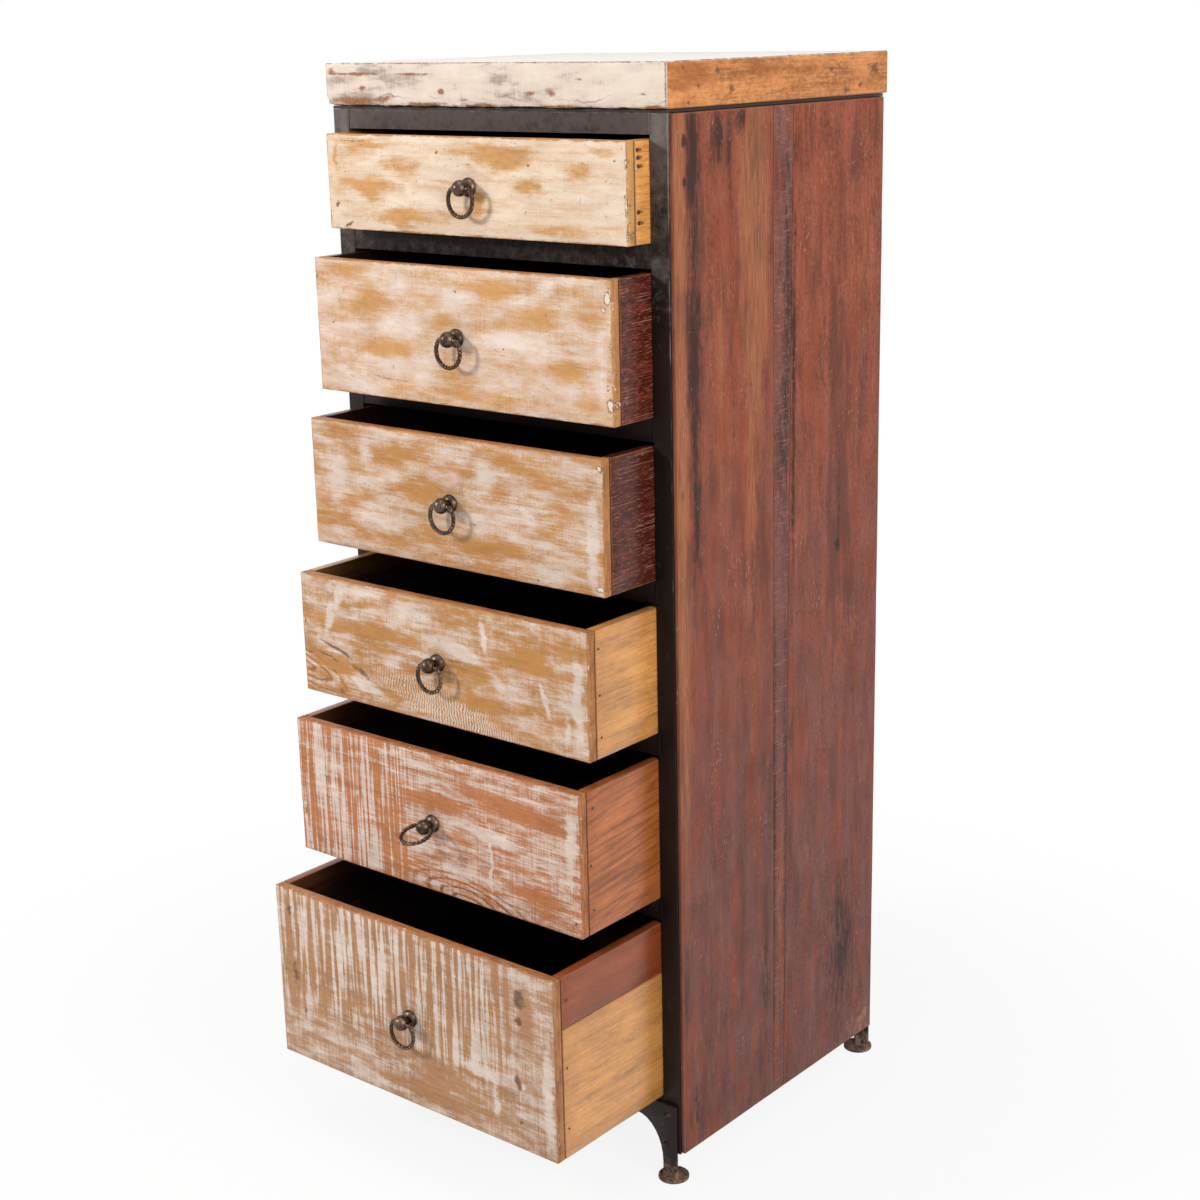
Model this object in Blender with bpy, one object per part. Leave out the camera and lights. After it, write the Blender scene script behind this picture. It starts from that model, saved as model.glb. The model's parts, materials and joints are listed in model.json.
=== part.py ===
"""Tall narrow chest of drawers: an angle-iron frame with a thick timber top, timber sides and back,
drawers with ring pulls, and cast feet. Metres, +Z up, the drawers open towards -Y."""

import math

import bmesh
import bpy
from mathutils import Matrix, Vector

# Fits
GAP = 0.0003            # between pieces that touch
SIDE_GAP = 0.0008       # drawer side to post
HEAD_GAP = 0.0035       # drawer top to the rail above it
STOP_GAP = 0.0010       # shut drawer to the back panel
PIN_GAP = 0.0004        # ring wire in the hole of its stud
BEND_GAP = 0.0006       # ball of the stud to the first bend of the ring

# Iron frame
FRAME_WIDTH = 0.4608    # across the posts
FRAME_DEPTH = 0.3876
POST_LEG = 0.0220       # width of each leg of the angle
POST_THICK = 0.0030
SKIRT = 0.0642          # foot of the post to the top of the lowest runner
SIDE_RAIL_HEIGHT = 0.0220
SIDE_RAIL_THICK = 0.0024
SIDE_RAIL_LAP = 0.0150  # how far the side rail is welded along each post leg
RAIL_HEIGHT = 0.0245
RAIL_THICK = 0.0030
RAIL_DROP = 0.0005      # rail edge below the runner top
RUNNER_LEG = 0.0200
RUNNER_THICK = 0.0030
RUNNER_SHORT = 0.0065   # runner's upright leg is this much shorter than the rail
TOP_RAIL_HEIGHT = 0.0238
TOP_LEDGE_THICK = 0.0030

# Timber carcass
BOARD_THICK = 0.0453
BOARD_OVER_FRONT = 0.0090
BOARD_OVER_BACK = 0.0010
BOARD_OVER_LEFT = 0.0005
BOARD_OVER_RIGHT = 0.0055
BOARD_EASE = 0.0020
RIGHT_PANEL_PROUD = 0.0040
LEFT_PANEL_SHY = 0.0005
BACK_THICK = 0.0080

# Feet
FOOT_HEIGHT = 0.0340    # floor to the foot of the post
DISC_RADIUS = 0.0173
DISC_THICK = 0.0035
DISC_IN = 0.0103        # middle of the disc from the outer edge of the bracket
DISC_BACK = 0.0092      # middle of the disc behind the face of the bracket
STUMP_RADIUS = 0.0045   # round stump on the disc that carries the post
BRACKET_THICK = 0.0040
BRACKET_WIDTH = 0.0535
BRACKET_LEG = 0.0180    # width of the bracket below its scoop
BRACKET_TOP = 0.0925    # floor to the top of the bracket
BRACKET_CORNER = 0.0090
BRACKET_SHOULDER = 0.0130
BRACKET_TOE = 0.0210    # floor to the lower end of the scoop
FLARE_WIDTH = 0.0050    # spread of the bracket where it stands on the disc
FLARE_HEIGHT = 0.0105   # floor to the start of the spread
BRACKET_INSET = 0.0030

# Drawers, counted from the top
DRAWER_1_HEIGHT = 0.1012
DRAWER_2_HEIGHT = 0.1450
DRAWER_3_HEIGHT = 0.1410
DRAWER_4_HEIGHT = 0.1375
DRAWER_5_HEIGHT = 0.1585
DRAWER_6_HEIGHT = 0.2075
DRAWER_1_OPEN = 0.0349
DRAWER_2_OPEN = 0.0621
DRAWER_3_OPEN = 0.0819
DRAWER_4_OPEN = 0.1115
DRAWER_5_OPEN = 0.1302
DRAWER_6_OPEN = 0.1783
FRONT_THICK = 0.0120
SIDE_THICK = 0.0120
TAIL_THICK = 0.0100     # back board of a drawer
TAIL_DROP = 0.0080      # back board below the top of the sides
BOTTOM_THICK = 0.0050
BOTTOM_LIFT = 0.0080    # bottom board above the lower edge of the sides
GROOVE_DEPTH = 0.0050

# Pulls
ROSE_RADIUS = 0.0110
ROSE_RIM = 0.0015
ROSE_RISE = 0.0030
STEM_RADIUS = 0.0045
BALL_RADIUS = 0.0085
BALL_OUT = 0.0135       # ball centre from the back of the rose
SHANK_RADIUS = 0.0025
RIVET_RADIUS = 0.0060
RIVET_THICK = 0.0020
WIRE_RADIUS = 0.0023
RING_RADIUS = 0.0168    # to the middle of the wire
RING_5_SWING = 72.0     # degrees out from hanging

# Counts of facets
TURN_STEPS = 18
BALL_STEPS = 8
HOLE_STEPS = 16
RING_STEPS = 26
SCOOP_STEPS = 8
FLARE_STEPS = 3
CORNER_STEPS = 4

DRAWERS = (
    (DRAWER_1_HEIGHT, DRAWER_1_OPEN, 0.0, "D9BE86", "A8662F"),
    (DRAWER_2_HEIGHT, DRAWER_2_OPEN, 0.0, "D8B98C", "5B2A20"),
    (DRAWER_3_HEIGHT, DRAWER_3_OPEN, 0.0, "D3AC7A", "5A2B21"),
    (DRAWER_4_HEIGHT, DRAWER_4_OPEN, 0.0, "C3935C", "B5802F"),
    (DRAWER_5_HEIGHT, DRAWER_5_OPEN, RING_5_SWING, "A46C42", "9C4A24"),
    (DRAWER_6_HEIGHT, DRAWER_6_OPEN, 0.0, "A77A52", "9A6A30"),
)

INNER = FRAME_WIDTH / 2 - POST_LEG
BETWEEN = INNER - GAP
BACK_FACE = FRAME_DEPTH - BACK_THICK
REAR_BAR = BACK_FACE - GAP - RAIL_THICK
DRAWER_HALF = INNER - SIDE_GAP
DRAWER_LENGTH = BACK_FACE - STOP_GAP
BRACKET_EDGE = FRAME_WIDTH / 2 - BRACKET_INSET
BRACKET_FACE = -GAP - BRACKET_THICK
DISC_X = BRACKET_EDGE - DISC_IN
DISC_Y = BRACKET_FACE + DISC_BACK
PIN_HALF = BALL_RADIUS + WIRE_RADIUS + BEND_GAP
RING_DROP = math.sqrt(RING_RADIUS**2 - PIN_HALF**2)


def linear(hex_colour):
    """Linear RGB of an sRGB hex colour."""
    values = [int(hex_colour[i : i + 2], 16) / 255 for i in (0, 2, 4)]
    return [v / 12.92 if v <= 0.04045 else ((v + 0.055) / 1.055) ** 2.4 for v in values]


def paint(obj, hex_colour, roughness, metallic):
    """Gives the object a material of its own."""
    made = bpy.data.materials.new(obj.name)
    made.use_nodes = True
    shader = made.node_tree.nodes["Principled BSDF"]
    shader.inputs["Base Color"].default_value = (*linear(hex_colour), 1.0)
    shader.inputs["Roughness"].default_value = roughness
    shader.inputs["Metallic"].default_value = metallic
    obj.data.materials.clear()
    obj.data.materials.append(made)


def timber(obj, hex_colour):
    paint(obj, hex_colour, 0.62, 0.0)


def iron(obj, hex_colour="2A2724"):
    paint(obj, hex_colour, 0.55, 0.85)


def add_empty(name, parent, location):
    made = bpy.data.objects.new(name, None)
    bpy.context.scene.collection.objects.link(made)
    made.parent = parent
    made.location = location
    return made


def add_object(name, data, parent, location=(0.0, 0.0, 0.0), turn=0.0):
    """One named piece, placed under its parent and turned about X."""
    made = bpy.data.objects.new(name, data)
    bpy.context.scene.collection.objects.link(made)
    made.parent = parent
    made.location = location
    made.rotation_euler = (turn, 0.0, 0.0)
    return made


def finish_mesh(bm, name):
    bmesh.ops.recalc_face_normals(bm, faces=bm.faces)
    mesh = bpy.data.meshes.new(name)
    bm.to_mesh(mesh)
    bm.free()
    return mesh


def box_mesh(name, low, high):
    low = Vector(low)
    high = Vector(high)
    bm = bmesh.new()
    place = Matrix.Translation((low + high) / 2) @ Matrix.Diagonal((high - low).to_4d())
    bmesh.ops.create_cube(bm, size=1.0, matrix=place)
    return finish_mesh(bm, name)


def prism_mesh(name, outline, axis, start, end):
    """An outline drawn square to the axis, extruded along it: (x, z) points for Y, (x, y) points for Z."""
    bm = bmesh.new()
    if axis == "Y":
        points = [(u, start, v) for u, v in outline]
        step = (0.0, end - start, 0.0)
    else:
        points = [(u, v, start) for u, v in outline]
        step = (0.0, 0.0, end - start)
    face = bm.faces.new([bm.verts.new(p) for p in points])
    made = bmesh.ops.extrude_face_region(bm, geom=[face])
    moved = [item for item in made["geom"] if isinstance(item, bmesh.types.BMVert)]
    bmesh.ops.translate(bm, verts=moved, vec=step)
    return finish_mesh(bm, name)


def turned_mesh(name, profile, place=Matrix.Identity(4)):
    """A profile of (radius, height) points, from pole to pole, spun about Z and then placed."""
    bm = bmesh.new()
    verts = [bm.verts.new((radius, 0.0, height)) for radius, height in profile]
    edges = [bm.edges.new(pair) for pair in zip(verts, verts[1:])]
    bmesh.ops.spin(
        bm,
        geom=verts + edges,
        cent=(0.0, 0.0, 0.0),
        axis=(0.0, 0.0, 1.0),
        angle=2 * math.pi,
        steps=TURN_STEPS,
        use_merge=True,
    )
    bmesh.ops.remove_doubles(bm, verts=bm.verts, dist=1e-6)
    bmesh.ops.transform(bm, matrix=place, verts=bm.verts)
    return finish_mesh(bm, name)


def drill_mesh(name, radius, length, axis, centre):
    """A round cutter along X or Y."""
    turn = Matrix.Rotation(math.pi / 2, 4, "Y" if axis == "X" else "X")
    bm = bmesh.new()
    bmesh.ops.create_cone(
        bm,
        cap_ends=True,
        segments=HOLE_STEPS,
        radius1=radius,
        radius2=radius,
        depth=length,
        matrix=Matrix.Translation(centre) @ turn,
    )
    return finish_mesh(bm, name)


def joined_mesh(name, solids, cuts=()):
    """One closed mesh: the solids welded together, less the cuts."""
    helpers = [add_object(f"{name}_{i}", mesh, None) for i, mesh in enumerate((*solids, *cuts))]
    body = helpers[0]
    for i, helper in enumerate(helpers[1:], start=1):
        step = body.modifiers.new(helper.name, "BOOLEAN")
        step.solver = "EXACT"
        step.operation = "UNION" if i < len(solids) else "DIFFERENCE"
        step.object = helper
    graph = bpy.context.evaluated_depsgraph_get()
    mesh = bpy.data.meshes.new_from_object(body.evaluated_get(graph))
    mesh.name = name
    for helper in helpers:
        bpy.data.objects.remove(helper, do_unlink=True)
    return mesh


def smooth(mesh, degrees=40.0):
    mesh.shade_smooth()
    mesh.set_sharp_from_angle(angle=math.radians(degrees))


def levels():
    """(floor of each drawer's runner from the top drawer down, underside of the top rail)."""
    runner = FOOT_HEIGHT + SKIRT
    runners = []
    for height, *_ in reversed(DRAWERS):
        runners.append(runner)
        rail_under = runner + GAP + height + HEAD_GAP
        runner = rail_under + RAIL_HEIGHT
    return runners[::-1], rail_under


def angle_outline(hand, back):
    """Plan of a post: one leg across the front or the rear, the other along the drawers."""
    inner = hand * INNER
    outer = hand * FRAME_WIDTH / 2
    leg = inner + hand * POST_THICK
    plan = (
        (outer, 0.0),
        (outer, POST_THICK),
        (leg, POST_THICK),
        (leg, POST_LEG),
        (inner, POST_LEG),
        (inner, 0.0),
    )
    return [(x, FRAME_DEPTH - y) for x, y in plan] if back else plan


def runner_outline(hand):
    """Section of a runner: a flat leg that carries the drawer and an upright leg below it."""
    outer = hand * (BETWEEN - GAP)
    thick = hand * RUNNER_THICK
    foot = RUNNER_SHORT - RAIL_HEIGHT
    return (
        (outer, 0.0),
        (outer, foot),
        (outer - thick, foot),
        (outer - thick, -RUNNER_THICK),
        (outer - hand * RUNNER_LEG, -RUNNER_THICK),
        (outer - hand * RUNNER_LEG, 0.0),
    )


def side_frame_mesh(name, hand, top):
    """Front and rear posts of one side, welded to the low rail between them."""
    posts = [
        prism_mesh(f"{name}_post", angle_outline(hand, back), "Z", FOOT_HEIGHT, top) for back in (False, True)
    ]
    spare = (POST_THICK - SIDE_RAIL_THICK) / 2
    ends = sorted((hand * (INNER + spare), hand * (INNER + spare + SIDE_RAIL_THICK)))
    start = POST_LEG - SIDE_RAIL_LAP
    foot = FOOT_HEIGHT + GAP
    rail = box_mesh(
        f"{name}_rail",
        (ends[0], start, foot),
        (ends[1], FRAME_DEPTH - start, foot + SIDE_RAIL_HEIGHT),
    )
    return joined_mesh(name, [*posts, rail])


def rail_mesh(name, start, low, high):
    return box_mesh(name, (-BETWEEN, start, low), (BETWEEN, start + RAIL_THICK, high))


def level_frame_mesh(name):
    """Front rail, rear bar and the two runners between them; z = 0 is the top of the runners."""
    start = GAP + RAIL_THICK / 2
    end = REAR_BAR + RAIL_THICK / 2
    bars = [rail_mesh(f"{name}_bar", y, -RAIL_HEIGHT, -RAIL_DROP) for y in (GAP, REAR_BAR)]
    runners = [prism_mesh(f"{name}_runner", runner_outline(hand), "Y", start, end) for hand in (-1, 1)]
    return joined_mesh(name, [bars[0], *runners, bars[1]])


def top_frame_mesh(name):
    """Flat ledge round the top with a rail under each side; z = 0 is the underside of the rails."""
    ledge = TOP_RAIL_HEIGHT - TOP_LEDGE_THICK
    plate = box_mesh(
        f"{name}_ledge",
        (-FRAME_WIDTH / 2, 0.0, ledge),
        (FRAME_WIDTH / 2, FRAME_DEPTH, TOP_RAIL_HEIGHT),
    )
    reach = ledge + TOP_LEDGE_THICK / 2
    rails = [rail_mesh(f"{name}_bar", y, 0.0, reach) for y in (GAP, REAR_BAR)]
    for hand in (-1, 1):
        ends = sorted((hand * (BETWEEN - GAP), hand * (BETWEEN - GAP - RUNNER_THICK)))
        low = (ends[0], GAP + RAIL_THICK / 2, RAIL_DROP)
        high = (ends[1], REAR_BAR + RAIL_THICK / 2, reach)
        rails.append(box_mesh(f"{name}_side", low, high))
    half = BETWEEN - GAP - RUNNER_LEG
    hole = box_mesh(
        f"{name}_hole",
        (-half, POST_LEG, ledge - TOP_LEDGE_THICK),
        (half, FRAME_DEPTH - POST_LEG, TOP_RAIL_HEIGHT + TOP_LEDGE_THICK),
    )
    return joined_mesh(name, [plate, *rails], [hole])


def foot_mesh(name, hand, back):
    """Bracket that bolts to the face of a post and stands on a disc, with a stump under the post."""
    inner = BRACKET_EDGE - BRACKET_WIDTH
    leg = BRACKET_EDGE - BRACKET_LEG
    scoop = leg - inner
    shoulder = BRACKET_TOP - BRACKET_CORNER - BRACKET_SHOULDER
    seated = DISC_THICK / 2
    outline = [(BRACKET_EDGE, seated), (BRACKET_EDGE, BRACKET_TOP)]
    for i in range(CORNER_STEPS + 1):
        a = math.pi / 2 * (1 + i / CORNER_STEPS)
        x = inner + BRACKET_CORNER * (1 + math.cos(a))
        outline.append((x, BRACKET_TOP - BRACKET_CORNER * (1 - math.sin(a))))
    for i in range(SCOOP_STEPS + 1):
        a = math.pi / 2 * i / SCOOP_STEPS
        outline.append((inner + scoop * math.sin(a), BRACKET_TOE + (shoulder - BRACKET_TOE) * math.cos(a)))
    for i in range(FLARE_STEPS + 1):
        a = math.pi / 2 * i / FLARE_STEPS
        x = leg - FLARE_WIDTH * (1 - math.cos(a))
        outline.append((x, FLARE_HEIGHT + (DISC_THICK - FLARE_HEIGHT) * math.sin(a)))
    outline.append((leg - FLARE_WIDTH, seated))
    profile = (
        (0.0, FOOT_HEIGHT - GAP),
        (STUMP_RADIUS, FOOT_HEIGHT - GAP),
        (STUMP_RADIUS, DISC_THICK),
        (DISC_RADIUS, DISC_THICK),
        (DISC_RADIUS, 0.0),
        (0.0, 0.0),
    )
    depths = (BRACKET_FACE, -GAP, DISC_Y)
    face, seat, middle = (FRAME_DEPTH - y for y in depths) if back else depths
    bracket = prism_mesh(f"{name}_bracket", [(hand * x, z) for x, z in outline], "Y", face, seat)
    disc = turned_mesh(f"{name}_disc", profile, Matrix.Translation((hand * DISC_X, middle, 0.0)))
    mesh = joined_mesh(name, [bracket, disc])
    smooth(mesh)
    return mesh


def stud_mesh(name):
    """Rose, stem and ball on a shank riveted through the drawer front; the face of the front is y = 0."""
    seat = GAP
    inside = FRONT_THICK + GAP
    top = seat + ROSE_RISE
    centre = seat + BALL_OUT
    first = math.asin(STEM_RADIUS / BALL_RADIUS)
    profile = [
        (0.0, -inside - RIVET_THICK),
        (RIVET_RADIUS * 0.7, -inside - RIVET_THICK),
        (RIVET_RADIUS, -inside - RIVET_THICK / 2),
        (RIVET_RADIUS, -inside),
        (SHANK_RADIUS, -inside),
        (SHANK_RADIUS, seat),
        (ROSE_RADIUS, seat),
        (ROSE_RADIUS, seat + ROSE_RIM),
        (ROSE_RADIUS * 0.75, top - (ROSE_RISE - ROSE_RIM) / 4),
        (STEM_RADIUS, top),
    ]
    for i in range(BALL_STEPS + 1):
        a = first + (math.pi - first) * i / BALL_STEPS
        radius = BALL_RADIUS * math.sin(a) if i < BALL_STEPS else 0.0
        profile.append((radius, centre - BALL_RADIUS * math.cos(a)))
    outward = Matrix.Rotation(math.pi / 2, 4, "X")
    body = turned_mesh(f"{name}_body", profile, outward)
    hole = drill_mesh(f"{name}_hole", WIRE_RADIUS + PIN_GAP, 4 * BALL_RADIUS, "X", (0.0, -centre, 0.0))
    mesh = joined_mesh(name, [body], [hole])
    smooth(mesh)
    return mesh


def ring_curve(name):
    """Bent wire: a straight pin through the ball along X and a loop that hangs from it."""
    start = math.atan2(RING_DROP, PIN_HALF)
    sweep = math.pi + 2 * start
    points = []
    for i in range(RING_STEPS + 1):
        a = start - sweep * i / RING_STEPS
        points.append((RING_RADIUS * math.cos(a), RING_RADIUS * math.sin(a) - RING_DROP))
    curve = bpy.data.curves.new(name, "CURVE")
    curve.dimensions = "3D"
    curve.bevel_depth = WIRE_RADIUS
    curve.bevel_resolution = 2
    spline = curve.splines.new("POLY")
    spline.points.add(len(points) - 1)
    for point, (x, z) in zip(spline.points, points):
        point.co = (x, 0.0, z, 1.0)
    spline.use_cyclic_u = True
    spline.use_smooth = True
    return curve


def side_outline(hand, height):
    """Section of a drawer side with the groove that holds the bottom board."""
    outer = hand * DRAWER_HALF
    inner = hand * (DRAWER_HALF - SIDE_THICK)
    groove = inner + hand * GROOVE_DEPTH
    low = BOTTOM_LIFT - GAP
    high = BOTTOM_LIFT + BOTTOM_THICK + GAP
    return (
        (outer, 0.0),
        (outer, height),
        (inner, height),
        (inner, high),
        (groove, high),
        (groove, low),
        (inner, low),
        (inner, 0.0),
    )


def add_drawer(number, row, runner, chest):
    """Boards, pull and ring of one drawer under an empty that slides along Y."""
    height, opened, swing, front_colour, side_colour = row
    name = f"drawer_{number}"
    slide = add_empty(f"{name}_slide", chest, (0.0, -opened, runner + GAP))
    middle = height / 2
    start = FRONT_THICK + GAP

    plain = box_mesh(f"{name}_board", (-DRAWER_HALF, 0.0, 0.0), (DRAWER_HALF, FRONT_THICK, height))
    centre = (0.0, FRONT_THICK / 2, middle)
    hole = drill_mesh(f"{name}_hole", SHANK_RADIUS + GAP, 3 * FRONT_THICK, "Y", centre)
    timber(add_object(f"{name}_front", joined_mesh(f"{name}_front", [plain], [hole]), slide), front_colour)

    for hand, word in ((-1, "left"), (1, "right")):
        mesh = prism_mesh(f"{name}_{word}", side_outline(hand, height), "Y", start, DRAWER_LENGTH)
        timber(add_object(f"{name}_{word}_side", mesh, slide), side_colour)

    lift = BOTTOM_LIFT + BOTTOM_THICK
    half = DRAWER_HALF - SIDE_THICK - GAP
    low = (-half, DRAWER_LENGTH - TAIL_THICK, lift + GAP)
    high = (half, DRAWER_LENGTH, height - TAIL_DROP)
    timber(add_object(f"{name}_back", box_mesh(f"{name}_back", low, high), slide), side_colour)

    half += GROOVE_DEPTH
    low = (-half, start, BOTTOM_LIFT)
    high = (half, DRAWER_LENGTH, lift)
    timber(add_object(f"{name}_bottom", box_mesh(f"{name}_bottom", low, high), slide), "7A5A3C")

    stud = add_object(f"pull_{number}_stud", stud_mesh(f"pull_{number}_stud"), slide, (0.0, 0.0, middle))
    paint(stud, "4A3A2C", 0.45, 0.9)
    pin = (0.0, -GAP - BALL_OUT, middle)
    name = f"pull_{number}_ring"
    ring = add_object(name, ring_curve(name), slide, pin, -math.radians(swing))
    paint(ring, "4A3A2C", 0.45, 0.9)


def middle_of_plan():
    """Centre of the plan box of the whole chest, drawers out, in the frame of the posts."""
    half = FRAME_WIDTH / 2
    disc_side = DISC_X + DISC_RADIUS - half
    disc_end = DISC_RADIUS - DISC_Y
    left = -half - max(0.0, BOARD_OVER_LEFT, -LEFT_PANEL_SHY, disc_side)
    right = half + max(0.0, BOARD_OVER_RIGHT, RIGHT_PANEL_PROUD, disc_side)
    reach = []
    for _, opened, swing, *_ in DRAWERS:
        ring = (RING_DROP + RING_RADIUS) * math.sin(math.radians(swing)) + WIRE_RADIUS
        reach.append(opened + GAP + BALL_OUT + max(BALL_RADIUS, ring))
    front = -max(*reach, BOARD_OVER_FRONT, -BRACKET_FACE, disc_end)
    back = FRAME_DEPTH + max(BOARD_OVER_BACK, -BRACKET_FACE, disc_end)
    return (left + right) / 2, (front + back) / 2


def build():
    for obj in list(bpy.data.objects):
        bpy.data.objects.remove(obj, do_unlink=True)
    x, y = middle_of_plan()
    chest = add_empty("chest", None, (-x, -y, 0.0))
    runners, top_rail = levels()
    ledge = top_rail + TOP_RAIL_HEIGHT - TOP_LEDGE_THICK
    post_top = ledge - GAP

    for hand, word in ((-1, "left"), (1, "right")):
        name = f"{word}_side_frame"
        iron(add_object(name, side_frame_mesh(name, hand, post_top), chest))
    iron(add_object("top_frame", top_frame_mesh("top_frame"), chest, (0.0, 0.0, top_rail)))
    for number, runner in enumerate(runners, start=1):
        name = f"divider_frame_{number}" if number < len(runners) else "bottom_frame"
        iron(add_object(name, level_frame_mesh(name), chest, (0.0, 0.0, runner)))

    for hand, side in ((-1, "left"), (1, "right")):
        for back, end in ((False, "front"), (True, "rear")):
            name = f"foot_{end}_{side}"
            iron(add_object(name, foot_mesh(name, hand, back), chest), "3A2E26")

    leg = INNER + POST_THICK + GAP
    start = POST_THICK + GAP
    outer = FRAME_WIDTH / 2 + RIGHT_PANEL_PROUD
    mesh = box_mesh("right_panel", (leg, start, FOOT_HEIGHT), (outer, FRAME_DEPTH - start, post_top))
    timber(add_object("right_panel", mesh, chest), "6B3A28")
    outer = FRAME_WIDTH / 2 - LEFT_PANEL_SHY
    mesh = box_mesh("left_panel", (-outer, start, FOOT_HEIGHT), (-leg, FRAME_DEPTH - start, post_top))
    timber(add_object("left_panel", mesh, chest), "6B3A28")
    foot = runners[-1] - RAIL_HEIGHT
    mesh = box_mesh("back_panel", (-BETWEEN, BACK_FACE, foot), (BETWEEN, FRAME_DEPTH, post_top))
    timber(add_object("back_panel", mesh, chest), "5E4330")

    low = (-FRAME_WIDTH / 2 - BOARD_OVER_LEFT, -BOARD_OVER_FRONT, top_rail + TOP_RAIL_HEIGHT + GAP)
    high = (FRAME_WIDTH / 2 + BOARD_OVER_RIGHT, FRAME_DEPTH + BOARD_OVER_BACK, low[2] + BOARD_THICK)
    board = add_object("top_board", box_mesh("top_board", low, high), chest)
    ease = board.modifiers.new("eased_edges", "BEVEL")
    ease.width = BOARD_EASE
    ease.segments = 1
    timber(board, "C9BBA0")

    for number, (row, runner) in enumerate(zip(DRAWERS, runners), start=1):
        add_drawer(number, row, runner, chest)


build()
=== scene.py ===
"""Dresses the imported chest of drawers: worn timber, rubbed lime-washed drawers, black iron and ring pulls."""

import json
import math

import bmesh
import bpy
from bpy.props import FloatProperty, FloatVectorProperty, PointerProperty
from mathutils import Euler, Matrix, Vector, noise

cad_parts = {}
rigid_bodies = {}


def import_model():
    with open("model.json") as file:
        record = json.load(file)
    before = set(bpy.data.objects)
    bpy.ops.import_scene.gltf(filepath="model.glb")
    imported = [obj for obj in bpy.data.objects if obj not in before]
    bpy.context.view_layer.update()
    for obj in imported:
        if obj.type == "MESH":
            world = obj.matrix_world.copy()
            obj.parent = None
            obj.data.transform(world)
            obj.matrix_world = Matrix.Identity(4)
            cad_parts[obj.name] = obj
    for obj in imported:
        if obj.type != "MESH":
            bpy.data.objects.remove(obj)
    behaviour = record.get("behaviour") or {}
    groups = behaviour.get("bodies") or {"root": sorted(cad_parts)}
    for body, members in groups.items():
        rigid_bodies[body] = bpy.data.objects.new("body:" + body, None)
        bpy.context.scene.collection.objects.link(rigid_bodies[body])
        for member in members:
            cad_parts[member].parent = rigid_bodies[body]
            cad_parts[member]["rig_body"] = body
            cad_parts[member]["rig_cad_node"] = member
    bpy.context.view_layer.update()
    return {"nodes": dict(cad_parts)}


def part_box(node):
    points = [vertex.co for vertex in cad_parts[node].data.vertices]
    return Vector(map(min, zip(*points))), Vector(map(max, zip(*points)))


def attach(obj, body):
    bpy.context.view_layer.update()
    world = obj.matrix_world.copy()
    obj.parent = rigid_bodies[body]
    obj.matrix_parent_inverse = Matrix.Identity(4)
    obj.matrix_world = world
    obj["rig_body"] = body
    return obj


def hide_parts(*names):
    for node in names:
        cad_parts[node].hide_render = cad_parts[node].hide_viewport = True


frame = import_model()

bl_info = {
    "name": "Chest of Drawers with Ring Pulls",
    "version": (1, 0, 0),
    "blender": (4, 5, 0),
    "location": "View3D > Sidebar > Chest",
    "description": "Builds the worn timber, black iron and ring pulls of a chest of drawers, and its stage",
    "category": "Object",
}

X, Y, Z = 0, 1, 2
FLAT = (0.0, 0.0, 0.0)
WHITE = (1.0, 1.0, 1.0, 1.0)
SOFT = {"interpolation_type": "SMOOTHSTEP"}
TINT = {"out": 2, "data_type": "RGBA"}
LEVELS = tuple(f"divider_frame_{number}" for number in range(1, 6)) + ("bottom_frame",)
IRON_NODES = ("left_side_frame", "right_side_frame", "top_frame") + LEVELS
FEET = ("foot_front_left", "foot_front_right", "foot_rear_left", "foot_rear_right")

# Radii in mm that carry a spot right through a board
THROUGH = 1000.0
DEEP = 900

# Length in mm of a figure that doesn't change along an axis
ENDLESS = 1000000

# Two corners nearer than this, in metres, are the same one
CLOSE = 0.0005


def linear(hex_colour):
    """sRGB hex to linear red, green, blue and alpha."""
    parts = [int(hex_colour[i:i + 2], 16) / 255 for i in (0, 2, 4)]
    return tuple(c / 12.92 if c <= 0.04045 else ((c + 0.055) / 1.055) ** 2.4 for c in parts) + (1.0,)


def shade(colour, factor):
    """The same colour, darker or lighter."""
    return tuple(min(1.0, c * factor) for c in colour[:3]) + (1.0,)


def toned(colour, factor):
    """The same wood, redder where it is darker and paler where it is lighter."""
    return tuple(min(1.0, c * factor ** power) for c, power in zip(colour, (1.0, 1.13, 1.3))) + (1.0,)


def colour_of(words, default, description):
    """A colour that a user may change."""
    return FloatVectorProperty(
        name=words, description=description, default=linear(default), subtype="COLOR", size=4, min=0.0,
        max=1.0,
    )


def size_of(words, default, description):
    """A length that a user may change."""
    return FloatProperty(
        name=words, description=description, default=default, min=0.0, unit="LENGTH", subtype="DISTANCE"
    )


class ChestSizes(bpy.types.PropertyGroup):
    """Sizes of the wear and of the small pieces."""

    board_ease: size_of("Board ease", 0.0012, "Rounding of the edges of the drawer boards")
    slab_ease: size_of("Slab ease", 0.0018, "Rounding of the edges of the top slab")
    panel_ease: size_of("Panel ease", 0.0011, "Rounding of the edges of the side boards")
    planing: size_of("Planing", 0.0005, "How deep the hollows of a hand-planed board are")
    chip_depth: size_of("Chip depth", 0.0036, "How deep the front lower edge of the top slab is chipped")
    iron_edge: size_of("Iron edge", 0.0005, "Rounding of the edges of the iron")
    bead_width: size_of("Bead width", 0.0042, "Width of a weld bead")
    bead_rise: size_of("Bead rise", 0.0005, "How far a ground weld bead stands proud")
    nail_radius: size_of("Nail radius", 0.0014, "Radius of a nail head")
    bolt_radius: size_of("Bolt radius", 0.0034, "Radius of the head of a foot bolt")
    rose_radius: size_of("Rose radius", 0.0098, "Radius of the domed rose of a pull")
    rose_rise: size_of("Rose rise", 0.0072, "Height of the domed rose of a pull")


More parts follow.
